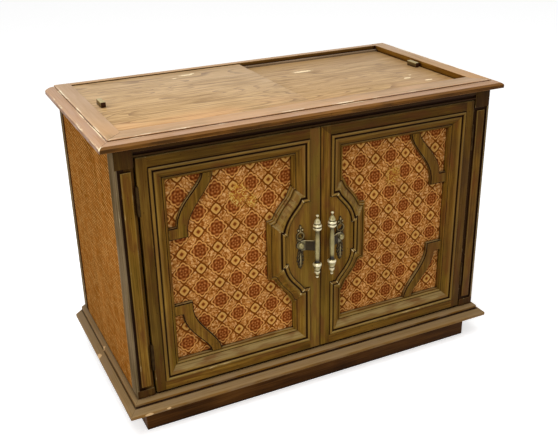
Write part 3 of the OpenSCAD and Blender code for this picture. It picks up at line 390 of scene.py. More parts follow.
def lattice_places(m, print_uv):
    """For each of the lattice's two slanting directions: how far a point lies across it from the
    middle of the nearest stripe, from the nearest rosette, and the first of these without its sign."""
    # The cloth was pulled on by hand, so the print wanders by a millimetre or two
    pulled = add(m, "TexNoise", {"Vector": print_uv, "Scale": 9.0, "Detail": 1.0})
    moved = add(m, "VectorMath SUBTRACT", {0: pulled.outputs["Color"], 1: (0.5, 0.5, 0.5)})
    moved = add(m, "VectorMath MULTIPLY", {0: moved, 1: (0.006, 0.006, 0)})
    at = add(m, "SeparateXYZ", {0: add(m, "VectorMath ADD", {0: print_uv, 1: moved})})
    x = add(m, "Math DIVIDE", {0: at.outputs["X"], 1: REPEAT_X_MM * MM})
    z = add(m, "Math DIVIDE", {0: at.outputs["Y"], 1: REPEAT_Z_MM * MM})
    ways = []
    for operation in ("ADD", "SUBTRACT"):
        across = add(m, "Math " + operation, {0: x, 1: z})
        places = []
        for shift in (0.0, 0.5):
            shifted = add(m, "Math ADD", {0: across, 1: shift})
            share = add(m, "Math FRACT", {0: shifted})
            places.append(add(m, "Math SUBTRACT", {0: share, 1: 0.5}))
        ways.append((*places, add(m, "Math ABSOLUTE", {0: places[0]})))
    return ways


def lattice_lines(m, offs):
    """The dark lines along the stripes' edges, and where a point lies inside each of the stripes."""
    lines = []
    inside = []
    for off, along in (offs, offs[::-1]):
        # Each line swells out between the crossings, so the cells look like cushions
        phase = add(m, "Math MULTIPLY", {0: along, 1: math.tau / (2 * HALF_STRIPE)})
        swing = add(m, "Math COSINE", {0: phase})
        line_at = add(m, "Math MULTIPLY_ADD", {0: swing, 1: 0.011, 2: HALF_STRIPE})
        past = add(m, "Math SUBTRACT", {0: off, 1: line_at})
        lines.append(add(m, "MapRange", {"Value": add(m, "Math ABSOLUTE", {0: past}),
                                         "From Min": 0.044, "From Max": 0.024},
                         interpolation_type="SMOOTHSTEP"))
        inside.append(add(m, "Math LESS_THAN", {0: past, 1: 0.0}))
    return add(m, "Math MAXIMUM", {0: lines[0], 1: lines[1]}), inside


def leaf_scrolls(m, print_uv, in_stripe, stripes, rosettes):
    """Leaf scrolls in the cells beside the diamonds: an S of stem between two pale leaves."""
    along = add(m, "Mix", {"Factor": in_stripe, "A": rosettes[1], "B": rosettes[0]})
    beside = add(m, "Mix", {"Factor": in_stripe, "A": stripes[0], "B": stripes[1]})
    wave = add(m, "Math SINE", {0: add(m, "Math MULTIPLY", {0: along, 1: 11.0})})
    stem = add(m, "Math ABSOLUTE", {0: add(m, "Math MULTIPLY_ADD", {0: wave, 1: -0.075, 2: beside})})
    veins = add(m, "TexNoise", {"Vector": print_uv, "Scale": 170.0, "Detail": 1.5, "Distortion": 0.8})
    leaf = add(m, "ValToRGB", {"Fac": veins}, stops=[
        (0.36, "#7f4413"), (0.45, "#ab6d30"), (0.54, "#bd8240"), (0.66, "#d8a56a")])
    on_stem = add(m, "MapRange", {"Value": stem, "From Min": 0.03, "From Max": 0.012, "To Max": 0.6})
    return add(m, "Mix", {"Factor": on_stem, "A": leaf, "B": "#8a4c18"}, data_type="RGBA")


def diamonds(m, offs):
    """Diamonds where two stripes cross: a gold field and a soft dark eye."""
    squared = [add(m, "Math MULTIPLY", {0: off, 1: off}) for off in offs]
    squared = add(m, "CombineXYZ", {0: squared[0], 1: squared[1]})
    eye = add(m, "VectorMath LENGTH", {0: squared}).outputs["Value"]
    eye = add(m, "Math SQRT", {0: eye})
    return add(m, "ValToRGB", {"Fac": eye}, stops=[
        (0.02, "#6d3410"), (0.055, "#86481a"), (0.08, "#c08a40"), (0.15, "#cc9a50")])


def rosette_print(m, rosettes):
    """Rosettes: eight lobes, a pale outline and a rust field with darker petals and pale seeds.
    It also gives how far inside the outline a point lies."""
    middle = add(m, "CombineXYZ", {0: rosettes[0], 1: rosettes[1]})
    reach = add(m, "VectorMath LENGTH", {0: middle}).outputs["Value"]
    turn = add(m, "Math ARCTAN2", {0: rosettes[1], 1: rosettes[0]})
    four = add(m, "Math COSINE", {0: add(m, "Math MULTIPLY", {0: turn, 1: 4.0})})
    lobes = add(m, "Math ABSOLUTE", {0: four})
    # The lobes that point up, down and sideways reach further than the four between them
    far = add(m, "Math MULTIPLY_ADD", {0: four, 1: -0.0255, 2: 0.312})
    outline = add(m, "Math MULTIPLY_ADD", {0: lobes, 1: 0.055, 2: far})
    inward = add(m, "Math SUBTRACT", {0: outline, 1: reach})
    # Rings of petals: light and dark take turns with the radius and round the middle
    hoops = add(m, "Math COSINE", {0: add(m, "Math MULTIPLY", {0: reach, 1: math.tau / 0.16})})
    petals = add(m, "Math MULTIPLY", {0: hoops, 1: four})
    petals = add(m, "Math MULTIPLY_ADD", {0: petals, 1: 0.5, 2: 0.5})
    rust = add(m, "ValToRGB", {"Fac": petals}, stops=[
        (0.1, "#632c0b"), (0.4, "#7c3c13"), (0.65, "#8f4d1c"), (0.95, "#b27238")])
    rim = add(m, "MapRange", {"Value": inward, "From Min": 0.068, "From Max": 0.044})
    return add(m, "Mix", {"Factor": rim, "A": rust, "B": "#ca8e48"}, data_type="RGBA"), inward


def scuffed_print(m, print_uv, here):
    """Scuffed patches, each a place and half a width, where the print has smeared and yellow
    threads show."""
    scuffed = 0.0
    for x_mm, z_mm, wide_mm in ((-187, 522, 34), (-158, 500, 20), (206, 493, 30)):
        off = add(m, "VectorMath SUBTRACT", {0: here, 1: (x_mm * MM, 0, z_mm * MM)})
        off = add(m, "VectorMath MULTIPLY", {0: off, 1: (1 / (wide_mm * MM), 0, 1 / (1.3 * wide_mm * MM))})
        away = add(m, "VectorMath LENGTH", {0: off}).outputs["Value"]
        near = add(m, "MapRange", {"Value": away, "From Min": 1.0, "From Max": 0.35})
        scuffed = add(m, "Math MAXIMUM", {0: near, 1: scuffed})
    smear = add(m, "TexNoise", {"Vector": print_uv, "Scale": 120.0, "Detail": 3.0, "Distortion": 2.0})
    loose = add(m, "ValToRGB", {"Fac": smear}, stops=[
        (0.4, "#8a4016"), (0.5, "#a9672c"), (0.56, "#c19428"), (0.66, "#dab66e")])
    shows = add(m, "MapRange", {"Value": add(m, "Math ADD", {0: scuffed, 1: smear}),
                                "From Min": 0.95, "From Max": 1.35, "To Max": 0.85})
    return shows, loose


def cloth_level(m, print_uv, here, threads):
    """How light the cloth is: lighter on the threads, bleached unevenly in patches, and painted darker to
    the right, as shade where less light falls.
    """
    fade = add(m, "TexNoise", {"Vector": print_uv, "Scale": 11.0, "Detail": 4.0})
    fade = add(m, "MapRange", {"Value": fade, "From Min": 0.3, "From Max": 0.7, "To Min": 0.76,
                               "To Max": 0.98})
    level = add(m, "Math MULTIPLY_ADD", {0: threads, 1: 0.16, 2: fade})
    # Painted shade: up to 7 per cent darker toward the right
    kept = add(m, "MapRange", {"Value": add(m, "SeparateXYZ", {0: here}), "From Min": -0.1,
                               "From Max": 0.1, "To Min": 1.0, "To Max": 0.93})
    return add(m, "Math MULTIPLY", {0: level, 1: kept})


def printed_cloth():
    """Grille cloth: plain weave, printed with a slanting lattice, rosettes and small diamonds."""
    m = new_material("cotton_grille_cloth_printed")
    print_uv = add(m, "UVMap", uv_map="print")
    here = add(m, "TexCoord").outputs["Object"]
    stripes, rosettes, offs = zip(*lattice_places(m, print_uv))
    lattice, inside = lattice_lines(m, offs)
    both = add(m, "Math MULTIPLY", {0: inside[0], 1: inside[1]})
    either = add(m, "Math MAXIMUM", {0: inside[0], 1: inside[1]})
    cells = add(m, "Mix", {"Factor": both, "A": leaf_scrolls(m, print_uv, inside[1], stripes, rosettes),
                           "B": diamonds(m, offs)}, data_type="RGBA")
    rosette, inward = rosette_print(m, rosettes)
    halo = add(m, "MapRange", {"Value": inward, "From Min": -0.03, "From Max": -0.008, "To Max": 0.75})
    in_rosette = add(m, "MapRange", {"Value": inward, "From Min": -0.004, "From Max": 0.004})
    # The lattice lines are drawn over the cells, under the rosettes
    colour = "#a3611f"
    for share, tone in ((either, cells), (halo, "#77390e"), (lattice, "#6d360a"), (in_rosette, rosette),
                        scuffed_print(m, print_uv, here)):
        colour = add(m, "Mix", {"Factor": share, "A": colour, "B": tone}, data_type="RGBA")
    # Threads 0.9 mm apart, drawn twice as coarse to show
    weave = [add(m, "TexWave", {"Vector": print_uv, "Scale": 0.5 / (0.9 * MM) / math.pi / 2,
                                "Distortion": 0.4}, bands_direction=way).outputs["Fac"] for way in "XY"]
    threads = add(m, "Math MULTIPLY", {0: weave[0], 1: weave[1]})
    colour = add(m, "VectorMath SCALE", {0: colour, "Scale": cloth_level(m, print_uv, here, threads)})
    return surfaced(m, colour, 0.85, threads, 0.5, 0.3, 0.04)


def metal(name, bright, dull, roughness, metallic=1.0, grime=0.0, brushed=(60, 60, 60), sheen=0.5,
          relief=()):
    """Metal with streaks of its working, and grime that settles in its hollows. relief are the tones
    from the blackened hollows to the polished heights, which the piece marks as proud."""
    m = new_material(name)
    place = add(m, "TexCoord").outputs["Object"]
    streaks = add(m, "TexNoise", {
        "Vector": add(m, "VectorMath MULTIPLY", {0: place, 1: brushed}),
        "Scale": 1.0, "Detail": 4.0})
    if relief:
        proud = add(m, "Attribute", attribute_name="proud").outputs["Fac"]
        height = add(m, "Math SUBTRACT", {0: streaks, 1: 0.5})
        height = add(m, "Math MULTIPLY_ADD", {0: height, 1: 0.5, 2: proud})
        colour = add(m, "ValToRGB", {"Fac": height}, stops=list(zip((0.15, 0.42, 0.6, 0.9), relief)))
    else:
        colour = add(m, "ValToRGB", {"Fac": streaks}, stops=[(0.35, dull), (0.62, bright)])
    if grime:
        hollow = add(m, "AmbientOcclusion", {"Distance": 6 * MM}, samples=6)
        lies = add(m, "MapRange", {"Value": hollow.outputs["AO"], "From Min": 0.95, "From Max": 0.6,
                                   "To Max": grime})
        colour = add(m, "Mix", {"Factor": lies, "A": colour, "B": "#1c130a"}, data_type="RGBA")
    rough = add(m, "MapRange", {"Value": streaks, "From Min": 0.3, "From Max": 0.7,
                                "To Min": roughness + 0.08, "To Max": roughness - 0.08})
    return surfaced(m, colour, rough, streaks, 0.15, 0.2, sheen, metallic)


def moulded(name, light, dark, roughness, scale=400.0, strength=0.2, sheen=0.5):
    """A moulded, painted or pressed surface with a fine texture and faint unevenness."""
    m = new_material(name)
    place = add(m, "TexCoord").outputs["Object"]
    patch = add(m, "TexNoise", {"Vector": place, "Scale": 14.0, "Detail": 5.0})
    colour = add(m, "ValToRGB", {"Fac": patch}, stops=[(0.35, dark), (0.65, light)])
    pits = add(m, "TexNoise", {"Vector": place, "Scale": scale, "Detail": 2.0})
    return surfaced(m, colour, roughness, pits, strength, 0.3, sheen)


grille_print = printed_cloth()
# Die-cast zinc, brass plated, blackened and rubbed back to a pale pewter
pull_cast = metal("zinc_cast_antiqued", "#a5986e", "#6b5e38", 0.34, metallic=0.45, grime=0.9,
                  relief=("#20180a", "#75683c", "#94885a", "#ded2ae"))
# The same casting left blackened, with only its heights rubbed
plate_cast = metal("zinc_cast_blackened", "#65522a", "#33260f", 0.55, metallic=0.0, grime=0.9, sheen=0.12,
                   relief=("#181006", "#35280f", "#63522c", "#b3a276"))
# Steel of the hinges, painted matt and nearly black as the shade of the gap they sit in, so that the gap
# beside them stays dark
hinge_painted_shade = metal("steel_hinge_painted_shade", "#3d2b12", "#2a1c0a", 0.7, metallic=0.0, sheen=0.05)
# Zinc plate: pale grey, streaked by the rolling
zinc_steel = metal("steel_zinc_plated", "#a9a79c", "#85827a", 0.38, brushed=(90, 300, 300))
# Chrome plate: nearly a mirror
chrome_steel = metal("steel_chromed", "#d8d8d6", "#c4c4c2", 0.12)
# A turned casting: warm grey, with fine rings up its rim
platter_alu = metal("aluminium_cast_turned", "#c2beb4", "#a6a299", 0.3, brushed=(30, 30, 400))
# A drawn tube, anodised: pale and satin
arm_alu = metal("aluminium_satin_anodised", "#c6c5c0", "#aeada8", 0.28, brushed=(300, 20, 300))
# Stoved enamel: an even satin charcoal
enamel = moulded("enamel_satin_charcoal", "#35322e", "#2a2724", 0.38)
# Pressed paper: matt, with coarse fibres
paper_cone = moulded("speaker_cone_pressed_paper", "#2b2724", "#1b1816", 0.85, scale=700, strength=0.5,
                     sheen=0.2)
# Moulded rubber: nearly black, with little sheen
rubber = moulded("rubber_moulded_black", "#1d1b1a", "#131211", 0.7, scale=500, sheen=0.3)
# Gilt plastic: a soft yellow gloss
gilt_plastic = moulded("plastic_gilt_moulded", "#c0a75c", "#a38a44", 0.3)


# ------------------------------------------------------------------ making pieces

# Points closer than this are one point
MERGE_M = 0.01 * MM


def clear_selection():
    """Deselects every object."""
    bpy.ops.object.select_all(action="DESELECT")


def only(obj):
    """Makes one object the selected and the active one."""
    clear_selection()
    obj.select_set(True)
    bpy.context.view_layer.objects.active = obj


def modified(obj, kind, **settings):
    """Puts a modifier on an object and applies it."""
    only(obj)
    modifier = obj.modifiers.new(kind.lower(), kind)
    for key, value in settings.items():
        setattr(modifier, key, value)
    bpy.ops.object.modifier_apply(modifier=modifier.name)


def edited(obj, *steps):
    """Runs edit operators, each with its settings, on the whole of an object's mesh."""
    only(obj)
    bpy.ops.object.mode_set(mode="EDIT")
    for operator, settings in steps:
        bpy.ops.mesh.select_all(action="SELECT")
        operator(**settings)
    bpy.ops.object.mode_set(mode="OBJECT")


def smooth(obj, degrees=32):
    """Smooth shading, with an edge kept sharp where its faces meet at more than an angle."""
    only(obj)
    bpy.ops.object.shade_smooth_by_angle(angle=math.radians(degrees))


def attribute(obj, name, kind, domain, values, field):
    """Writes an attribute on an object's mesh."""
    layer = obj.data.attributes.get(name) or obj.data.attributes.new(name, kind, domain)
    layer.data.foreach_set(field, values)


def linked(name, mesh):
    """An object of a mesh, in the scene."""
    obj = bpy.data.objects.new(name, mesh)
    bpy.context.scene.collection.objects.link(obj)
    return obj


def meshed(name, points, edges, faces):
    """An object of points in metres, with the edges or faces between them."""
    mesh = bpy.data.meshes.new(name)
    mesh.from_pydata(points, edges, faces)
    return linked(name, mesh)


def joined(name, pieces):
    """Several objects as one."""
    clear_selection()
    for piece in pieces:
        piece.select_set(True)
    bpy.context.view_layer.objects.active = pieces[0]
    bpy.ops.object.join()
    whole = bpy.context.view_layer.objects.active
    whole.name = whole.data.name = name
    return whole


def fitted(obj, name, body, slot, material, *nodes):
    """Names a piece, gives it its finish and its body, and hides the CAD nodes it stands for."""
    obj.name = obj.data.name = name
    obj.data.materials.clear()
    obj.data.materials.append(material)
    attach(obj, body)
    if nodes:
        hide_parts(*nodes)


def run_grain(obj, along, seed=0.0):
    """Writes where each corner of each face lies in its board: x along the grain, then across. seed
    takes each board from another part of the tree."""
    values = []
    mesh = obj.data
    for face in mesh.polygons:
        axis = along(face.center) if callable(along) else along
        order = {"X": (0, 1, 2), "Y": (1, 0, 2), "Z": (2, 0, 1)}[axis]
        shift = seed + {"X": 0.0, "Y": 0.37, "Z": 0.71}[axis]
        for corner in face.loop_indices:
            co = mesh.vertices[mesh.loops[corner].vertex_index].co
            values += [co[order[0]] + shift, co[order[1]] + shift, co[order[2]]]
    attribute(obj, "grain", "FLOAT_VECTOR", "CORNER", values, "vector")


def mark_edges(obj, degrees):
    """Gives a full bevel weight to each outward edge sharper than an angle."""
    mesh = obj.data
    sides = {}
    for face in mesh.polygons:
        for key in face.edge_keys:
            sides.setdefault(key, []).append(face)
    weights = []
    for edge in mesh.edges:
        faces = sides.get(edge.key, [])
        weight = 0.0
        if len(faces) == 2:
            a, b = faces
            turn = a.normal.angle(b.normal, 0.0)
            outward = (b.center - a.center).dot(a.normal) < 0
            weight = 1.0 if turn > math.radians(degrees) and outward else 0.0
        weights.append(weight)
    attribute(obj, "bevel_weight_edge", "FLOAT", "EDGE", weights, "value")


def eased_copy(node, material, round_mm, clamp, cuts):
    """A copy of a CAD node, merged and flat, with its outward edges rounded and its faces cut along
    planes. The rounded edges are in the second material's slot."""
    obj = linked(node + "_eased", frame["nodes"][node].data.copy())
    edited(obj, (bpy.ops.mesh.remove_doubles, {"threshold": MERGE_M}),
           (bpy.ops.mesh.dissolve_limited, {"angle_limit": math.radians(1.0)}))
    obj.data.materials.clear()
    for _ in ("faces", "edges"):
        obj.data.materials.append(material)
    for face in obj.data.polygons:
        face.material_index = 0
    if round_mm:
        mark_edges(obj, 35)
        modified(obj, "BEVEL", width=round_mm * MM, segments=2, limit_method="WEIGHT", material=1,
                 use_clamp_overlap=clamp)
    edited(obj, *((bpy.ops.mesh.bisect, {"plane_co": [place * MM] * 3,
                                         "plane_no": [float(a == axis) for a in "XYZ"]})
                  for axis, place in cuts))
    return obj


def dressed(node, material, slot, along="Z", round_mm=0.7, seed=0.0, glaze=None, edge=1.0, others=(),
            where=None, cuts=(), wear_and_light_at=None, shape=None, clamp=True):
    """A CAD node's shape with its outward edges eased, and its grain run along a length. cuts are the
    planes, each an axis and a place in millimetres, along which its boards or finishes meet. where
    picks, from a face's centre and normal, its finish: 0 for material, then the others in their order.
    wear_and_light_at gives faces away from the edges their wear, and on the left door a painted light, and
    shape moves points to a fuller curve."""
    obj = eased_copy(node, material, round_mm, clamp, cuts)
    glazes = []
    worn = []
    for face in obj.data.polygons:
        glazes.append(glaze(face.center, face.normal) if glaze else 0.0)
        # Nothing is rubbed where the darkening lies thickest, glaze and painted shade alike
        if glazes[-1] > 0.9:
            worn.append(0.0)
        elif face.material_index == 1:
            worn.append(edge)
        else:
            worn.append(wear_and_light_at(face.center, face.normal) if wear_and_light_at else 0.0)
    # glaze holds glaze and painted shade, worn holds wear and painted highlight
    attribute(obj, "glaze", "FLOAT", "FACE", glazes, "value")
    attribute(obj, "worn", "FLOAT", "FACE", worn, "value")
    if shape:
        for vertex in obj.data.vertices:
            vertex.co = shape(vertex.co)
    run_grain(obj, along, seed)
    smooth(obj)
    fitted(obj, node + "_finished", frame["nodes"][node]["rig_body"], slot, material, node)
    for other in others:
        obj.data.materials.append(other)
    for face in obj.data.polygons:
        face.material_index = where(face.center, face.normal) if where else 0


def mirrored(obj, name):
    """A copy on the other side of the middle, with its own mesh."""
    copy = obj.copy()
    copy.data = obj.data.copy()
    bpy.context.scene.collection.objects.link(copy)
    copy.data.transform(Matrix.Scale(-1, 4, Vector((1, 0, 0))))
    copy.data.flip_normals()
    copy.name = copy.data.name = name
    return copy


def turned(name, profile, steps, at, lay=None):
    """A shape turned on a lathe: profile is (radius, height) in millimetres, spun about its axis.
    lay turns the axis before the shape is moved to its place."""
    obj = meshed(name, [(r * MM, 0, z * MM) for r, z in profile],
                 [(i, i + 1) for i in range(len(profile) - 1)], [])
    modified(obj, "SCREW", axis="Z", angle=math.tau, steps=steps, render_steps=steps,
             use_merge_vertices=True, merge_threshold=MERGE_M)
    edited(obj, (bpy.ops.mesh.remove_doubles, {"threshold": MERGE_M}),
           (bpy.ops.mesh.normals_make_consistent, {"inside": False}))
    if lay:
        obj.data.transform(lay)
    obj.data.transform(Matrix.Translation(Vector(at) * MM))
    return obj


def prism(name, outline, z0, z1):
    """A flat outline in x and y, in millimetres, raised from z0 to z1."""
    n = len(outline)
    faces = [list(range(n))[::-1], list(range(n, 2 * n))]
    faces += [(i, (i + 1) % n, n + (i + 1) % n, n + i) for i in range(n)]
    obj = meshed(name, [(x * MM, y * MM, z * MM) for z in (z0, z1) for x, y in outline], [], faces)
    edited(obj, (bpy.ops.mesh.normals_make_consistent, {"inside": False}))
    return obj


# ------------------------------------------------------------------ the picture moulding

# The notch is that of the part's source, in door millimetres: x from the hinge edge, z from the middle
NOTCH_H_MM, NOTCH_W_MM, SHOULDER_MM = 107.0, 62.0, 16.0
STEP_IN_MM, STEP_Z_MM = 6.0, 34.0
STEP_X_MM = FRAME_X1_MM - NOTCH_W_MM + STEP_IN_MM
NOTCH = [(FRAME_X1_MM - SHOULDER_MM, NOTCH_H_MM), (FRAME_X1_MM - SHOULDER_MM - 8, NOTCH_H_MM - 17),
         (STEP_X_MM, STEP_Z_MM + 36), (STEP_X_MM, STEP_Z_MM)]
CURVE_N = 14
# Past this x a length belongs to the notch's side of the door
NOTCH_SIDE_MM = 300


def notch_point(t):
    """A place on the notch's curve, at a share of the way along it."""
    a, b, c, d = NOTCH
    s = 1 - t
    return Vector([a[i] * s ** 3 + 3 * b[i] * t * s * s + 3 * c[i] * t * t * s + d[i] * t ** 3
                   for i in (0, 1)])


def notch_right(t):
    """The direction to the right of the notch's curve, square to it."""
    a, b, c, d = NOTCH
    s = 1 - t
    way = Vector([3 * (b[i] - a[i]) * s * s + 6 * (c[i] - b[i]) * t * s + 3 * (d[i] - c[i]) * t * t
                  for i in (0, 1)]).normalized()
    return Vector((way.y, -way.x))


def past_cut(t, w):
    """How far a point w to the right of the curve lies past the line that cuts the curved length."""
    away = notch_point(t) + w * notch_right(t) - Vector(NOTCH[3])
    return away.x + away.y


def curve_point(i, w):
    """The curved length's point i of CURVE_N, w in from its outer line. Its end is found by halving."""
    low, high = 0.1, 1.0
    if w > 0:
        for _ in range(24):
            middle = (low + high) / 2
            low, high = (middle, high) if past_cut(middle, w) > 0 else (low, middle)
    t = (1.0 if w <= 0 else (low + high) / 2) * i / CURVE_N
    return notch_point(t) + w * notch_right(t)


def upper_half(w):
    """Where the moulding lies at w in from its outer line, from the upper outer corner to the middle.
    Each point comes with the direction of the length that follows it: X, Z or C for the curve."""
    right = notch_right(0)
    mitre = (right + Vector((0, 1))) / (1 + right.y)
    cut = Vector(NOTCH[3])
    slant = Vector((-w, w))
    top = FRAME_Z1_MM - MID_Z_MM - w
    points = [(Vector((BORDER_MM + w, top)), "X"),
              (Vector((FRAME_X1_MM - w, top)), "Z"),
              (Vector((FRAME_X1_MM - w, NOTCH_H_MM + w)), "X"),
              (Vector(NOTCH[0]) + w * mitre, "C")]
    points += [(curve_point(i, w), "C") for i in range(1, CURVE_N)]
    points += [(cut + slant, "X"), (cut + Vector((-STEP_IN_MM, 0)) + slant, "Z")]
    return points


def arc(cx, cy, r, a0, a1, n):
    """Points along an arc, from one angle to another in degrees."""
    angles = [math.radians(a0 + (a1 - a0) * i / n) for i in range(n + 1)]
    return [(cx + r * math.cos(a), cy + r * math.sin(a)) for a in angles]


def eased_line(points, n=4):
    """A smooth line through points, with n steps between each two of them."""
    out = []
    for i in range(len(points) - 1):
        p0, p1, p2, p3 = (Vector(points[max(0, min(len(points) - 1, i + k))]) for k in (-1, 0, 1, 2))
        for j in range(n):
            t = j / n
            out.append(tuple(0.5 * ((2 * p1) + (p2 - p0) * t + (2 * p0 - 5 * p1 + 4 * p2 - p3) * t * t
                                    + (3 * p1 - p0 - 3 * p2 + p3) * t ** 3)))
    return out + [tuple(points[-1])]


# The section, as distances in from the outer line and depths behind the face of the door: the outer
# bead, a quirk, the long cove, and the inner bead
SECTION = ([(0, 1.6), (1.2, 1.6)]
           + [(w, 0.4 - rise) for w, rise in arc(5.0, 0.2, 3.8, 180, 0, 12)]
           + [(9.2, 1.7), (10.8, 1.7)]
           + eased_line([(11.6, 0.1), (13, -0.55), (15, -0.6), (19, 1.2), (23, 4.6), (27, 8), (30, 9.8)])
           + [(30.4, 10.6), (31.2, 10.6)]
           + arc(32.9, 10.6, 1.7, 180, 360, 8)[1:-1]
           + [(34.6, 10.8), (35, 13.5), (38, 13.5), (38, DOOR_T_MM), (0, DOOR_T_MM)])
# How dark the wiped glaze lies across the section: distances in, and shares
GLAZE_MARKS = [(0, 1.0), (1.2, 1.0), (2.2, 0.2), (4, -0.3), (7.2, -0.3), (8.6, 0.9), (10.9, 1.0),
               (12.0, 0.5), (13.4, -0.15), (24, -0.35), (28, -0.2), (30.4, 0.3), (31.2, 0.15),
               (32.2, -0.4), (33.6, -0.4), (34.6, -0.5), (35, -0.8), (38, -0.8)]
# The grain of the curved lengths is measured along this point of the section, near its middle
MIDDLE_POINT = 12


def section_glaze(w, d):
    """How dark the glaze lies at a point of the section. Its back, against the door, is painted half dark as
    shade.
    """
    if d > DOOR_T_MM - 1:
        return 0.4
    for (w0, g0), (w1, g1) in zip(GLAZE_MARKS, GLAZE_MARKS[1:]):
        if w <= w1:
            return g0 + (g1 - g0) * (w - w0) / (w1 - w0)
    return 0.8


def moulding_glaze_and_shade(w, d, p, way):
    """The section's glaze, with painted shade added on the upper lengths, which face away from the light
    above: most on the top length.
    """
    on_notch = p.x > NOTCH_SIDE_MM
    if p.z <= MID_Z_MM or way == "Z" or (way == "X" and not on_notch and p.z <= FRAME_Z1_MM - 40):
        return section_glaze(w, d)
    return section_glaze(w, d) + (0.45 if way == "X" and not on_notch else 0.3)


def moulding_wear_and_highlight(w, d, p, way, corner):
    """How far the section's heights are rubbed, and painted pale as highlights, corner being the distance to
    the nearest mitre.
    """
    raised = max(0.0, 1 - max(0.0, d + 0.6) / 2.2)
    # Tips of the mitres round the notch are painted pale: wear through to the pale ground, and highlights
    # where they catch the light
    notch_side = 1.0 if p.x > NOTCH_SIDE_MM and abs(p.z - MID_Z_MM) < 160 else 0.35
    worn = max(0.0, 1 - corner / 2.4) * raised * notch_side * 0.68 + 0.52 * raised
    # Both beads of the lowest length are painted pale in streaks: wear, and highlights where they face up to
    # the light
    lowest = way == "X" and p.z < BORDER_MM + 40
    return max(worn, 0.98) if lowest and (3 < w < 7 or 31.2 < w < 34.8) else worn


def moulding_rings(line, ways):
    """Where sections stand along the loop: after which corner, at what share of the length that
    follows, and in which direction. Each straight length gets more near its ends, so that wear can
    stop there."""
    rings = []
    for i, way in enumerate(ways):
        rings.append((i, 0.0, way))
        if way != "C":
            span = (line[(i + 1) % len(line)].xz - line[i].xz).length
            near = [2.2, 5.0] if span > 30 else [min(2.2, span / 3)]
            shares = [mm / span for mm in near] + [1 - mm / span for mm in reversed(near)]
            rings += [(i, share, way) for share in shares]
    return rings


def picture_moulding():
    """The moulding of the left door as one closed loop of mitred lengths."""
    loops = []
    for w, d in SECTION:
        upper = upper_half(w)
        lower = [(Vector((p.x, -p.y)), upper[i - 1][1] if i else "Z")
                 for i, (p, _) in reversed(list(enumerate(upper)))]
        loops.append([(Vector((p.x, d, p.y + MID_Z_MM)), way) for p, way in upper + lower])
    ways = [way for _, way in loops[0]]
    loops = [[p for p, _ in loop] for loop in loops]
    n = len(ways)
    mitres = [i for i in range(n) if ways[i] != "C" or ways[i - 1] != "C"]
    rings = moulding_rings(loops[0], ways)
    lengths = [0.0]
    middle = [loops[MIDDLE_POINT][i].lerp(loops[MIDDLE_POINT][(i + 1) % n], share).xz
              for i, share, _ in rings]
    for before, after in zip(middle, middle[1:]):
        lengths.append(lengths[-1] + (after - before).length)
    points, glazes, worns = [], [], []
    for (w, d), loop in zip(SECTION, loops):
        for i, share, way in rings:
            p = loop[i].lerp(loop[(i + 1) % n], share)
            points.append(((p.x - DOOR_X_MM) * MM, (p.y + FRONT_MM) * MM, (p.z + DOOR_Z_MM) * MM))
            corner = min((loop[c].xz - p.xz).length for c in mitres)
            worns.append(moulding_wear_and_highlight(w, d, p, way, corner))
            glazes.append(moulding_glaze_and_shade(w, d, p, way))
    faces, grains = [], []
    around = len(rings)
    for j in range(len(SECTION)):
        for k, (i, _, way) in enumerate(rings):
            quad = []
            for ring, point in ((k, j), (k + 1, j), (k + 1, j + 1), (k, j + 1)):
                point %= len(SECTION)
                quad.append(point * around + ring % around)
                x, y, z = points[quad[-1]]
                run = (lengths[ring] if ring < around else lengths[-1] + 10) * MM
                along = {"X": x, "Z": z + 0.9, "C": run + 1.7}[way]
                across = SECTION[point][0] * MM + (0.3 if way == "X" else 0.6) + 0.11 * i
                grains += [along, across, y]
            faces.append(quad)
    obj = meshed("picture_moulding", points, [], faces)
    # glaze holds the section's glaze and painted shade, worn holds wear and painted highlight
    attribute(obj, "glaze", "FLOAT", "POINT", glazes, "value")
    attribute(obj, "worn", "FLOAT", "POINT", worns, "value")
    attribute(obj, "grain", "FLOAT_VECTOR", "CORNER", grains, "vector")
    # The back has to face backwards
    back = [f for f in obj.data.polygons if abs(f.center.y / MM - FRONT_MM - DOOR_T_MM) < 0.1]
    if sum(f.area * f.normal.y for f in back) < 0:
        obj.data.flip_normals()
    smooth(obj, 28)
    return obj


left_moulding = picture_moulding()
right_moulding = mirrored(left_moulding, "right_moulding")
for side, moulding in (("left", left_moulding), ("right", right_moulding)):
    fitted(moulding, side + "_picture_moulding", side + "_door", "antiqued_front_wood", antiqued_wood,
           side + "_door_moulding")


# ------------------------------------------------------------------ grille cloth

CLOTH_COLUMNS, CLOTH_ROWS = 38, 52
# The middle of a cloth stands out by a quarter of this, and ripples by up to six tenths of it
SLACK_MM = 0.6
# The drawn cloth's share of the CAD cloth's thickness, which leaves room for the slackness
THREAD_SHARE = 0.45


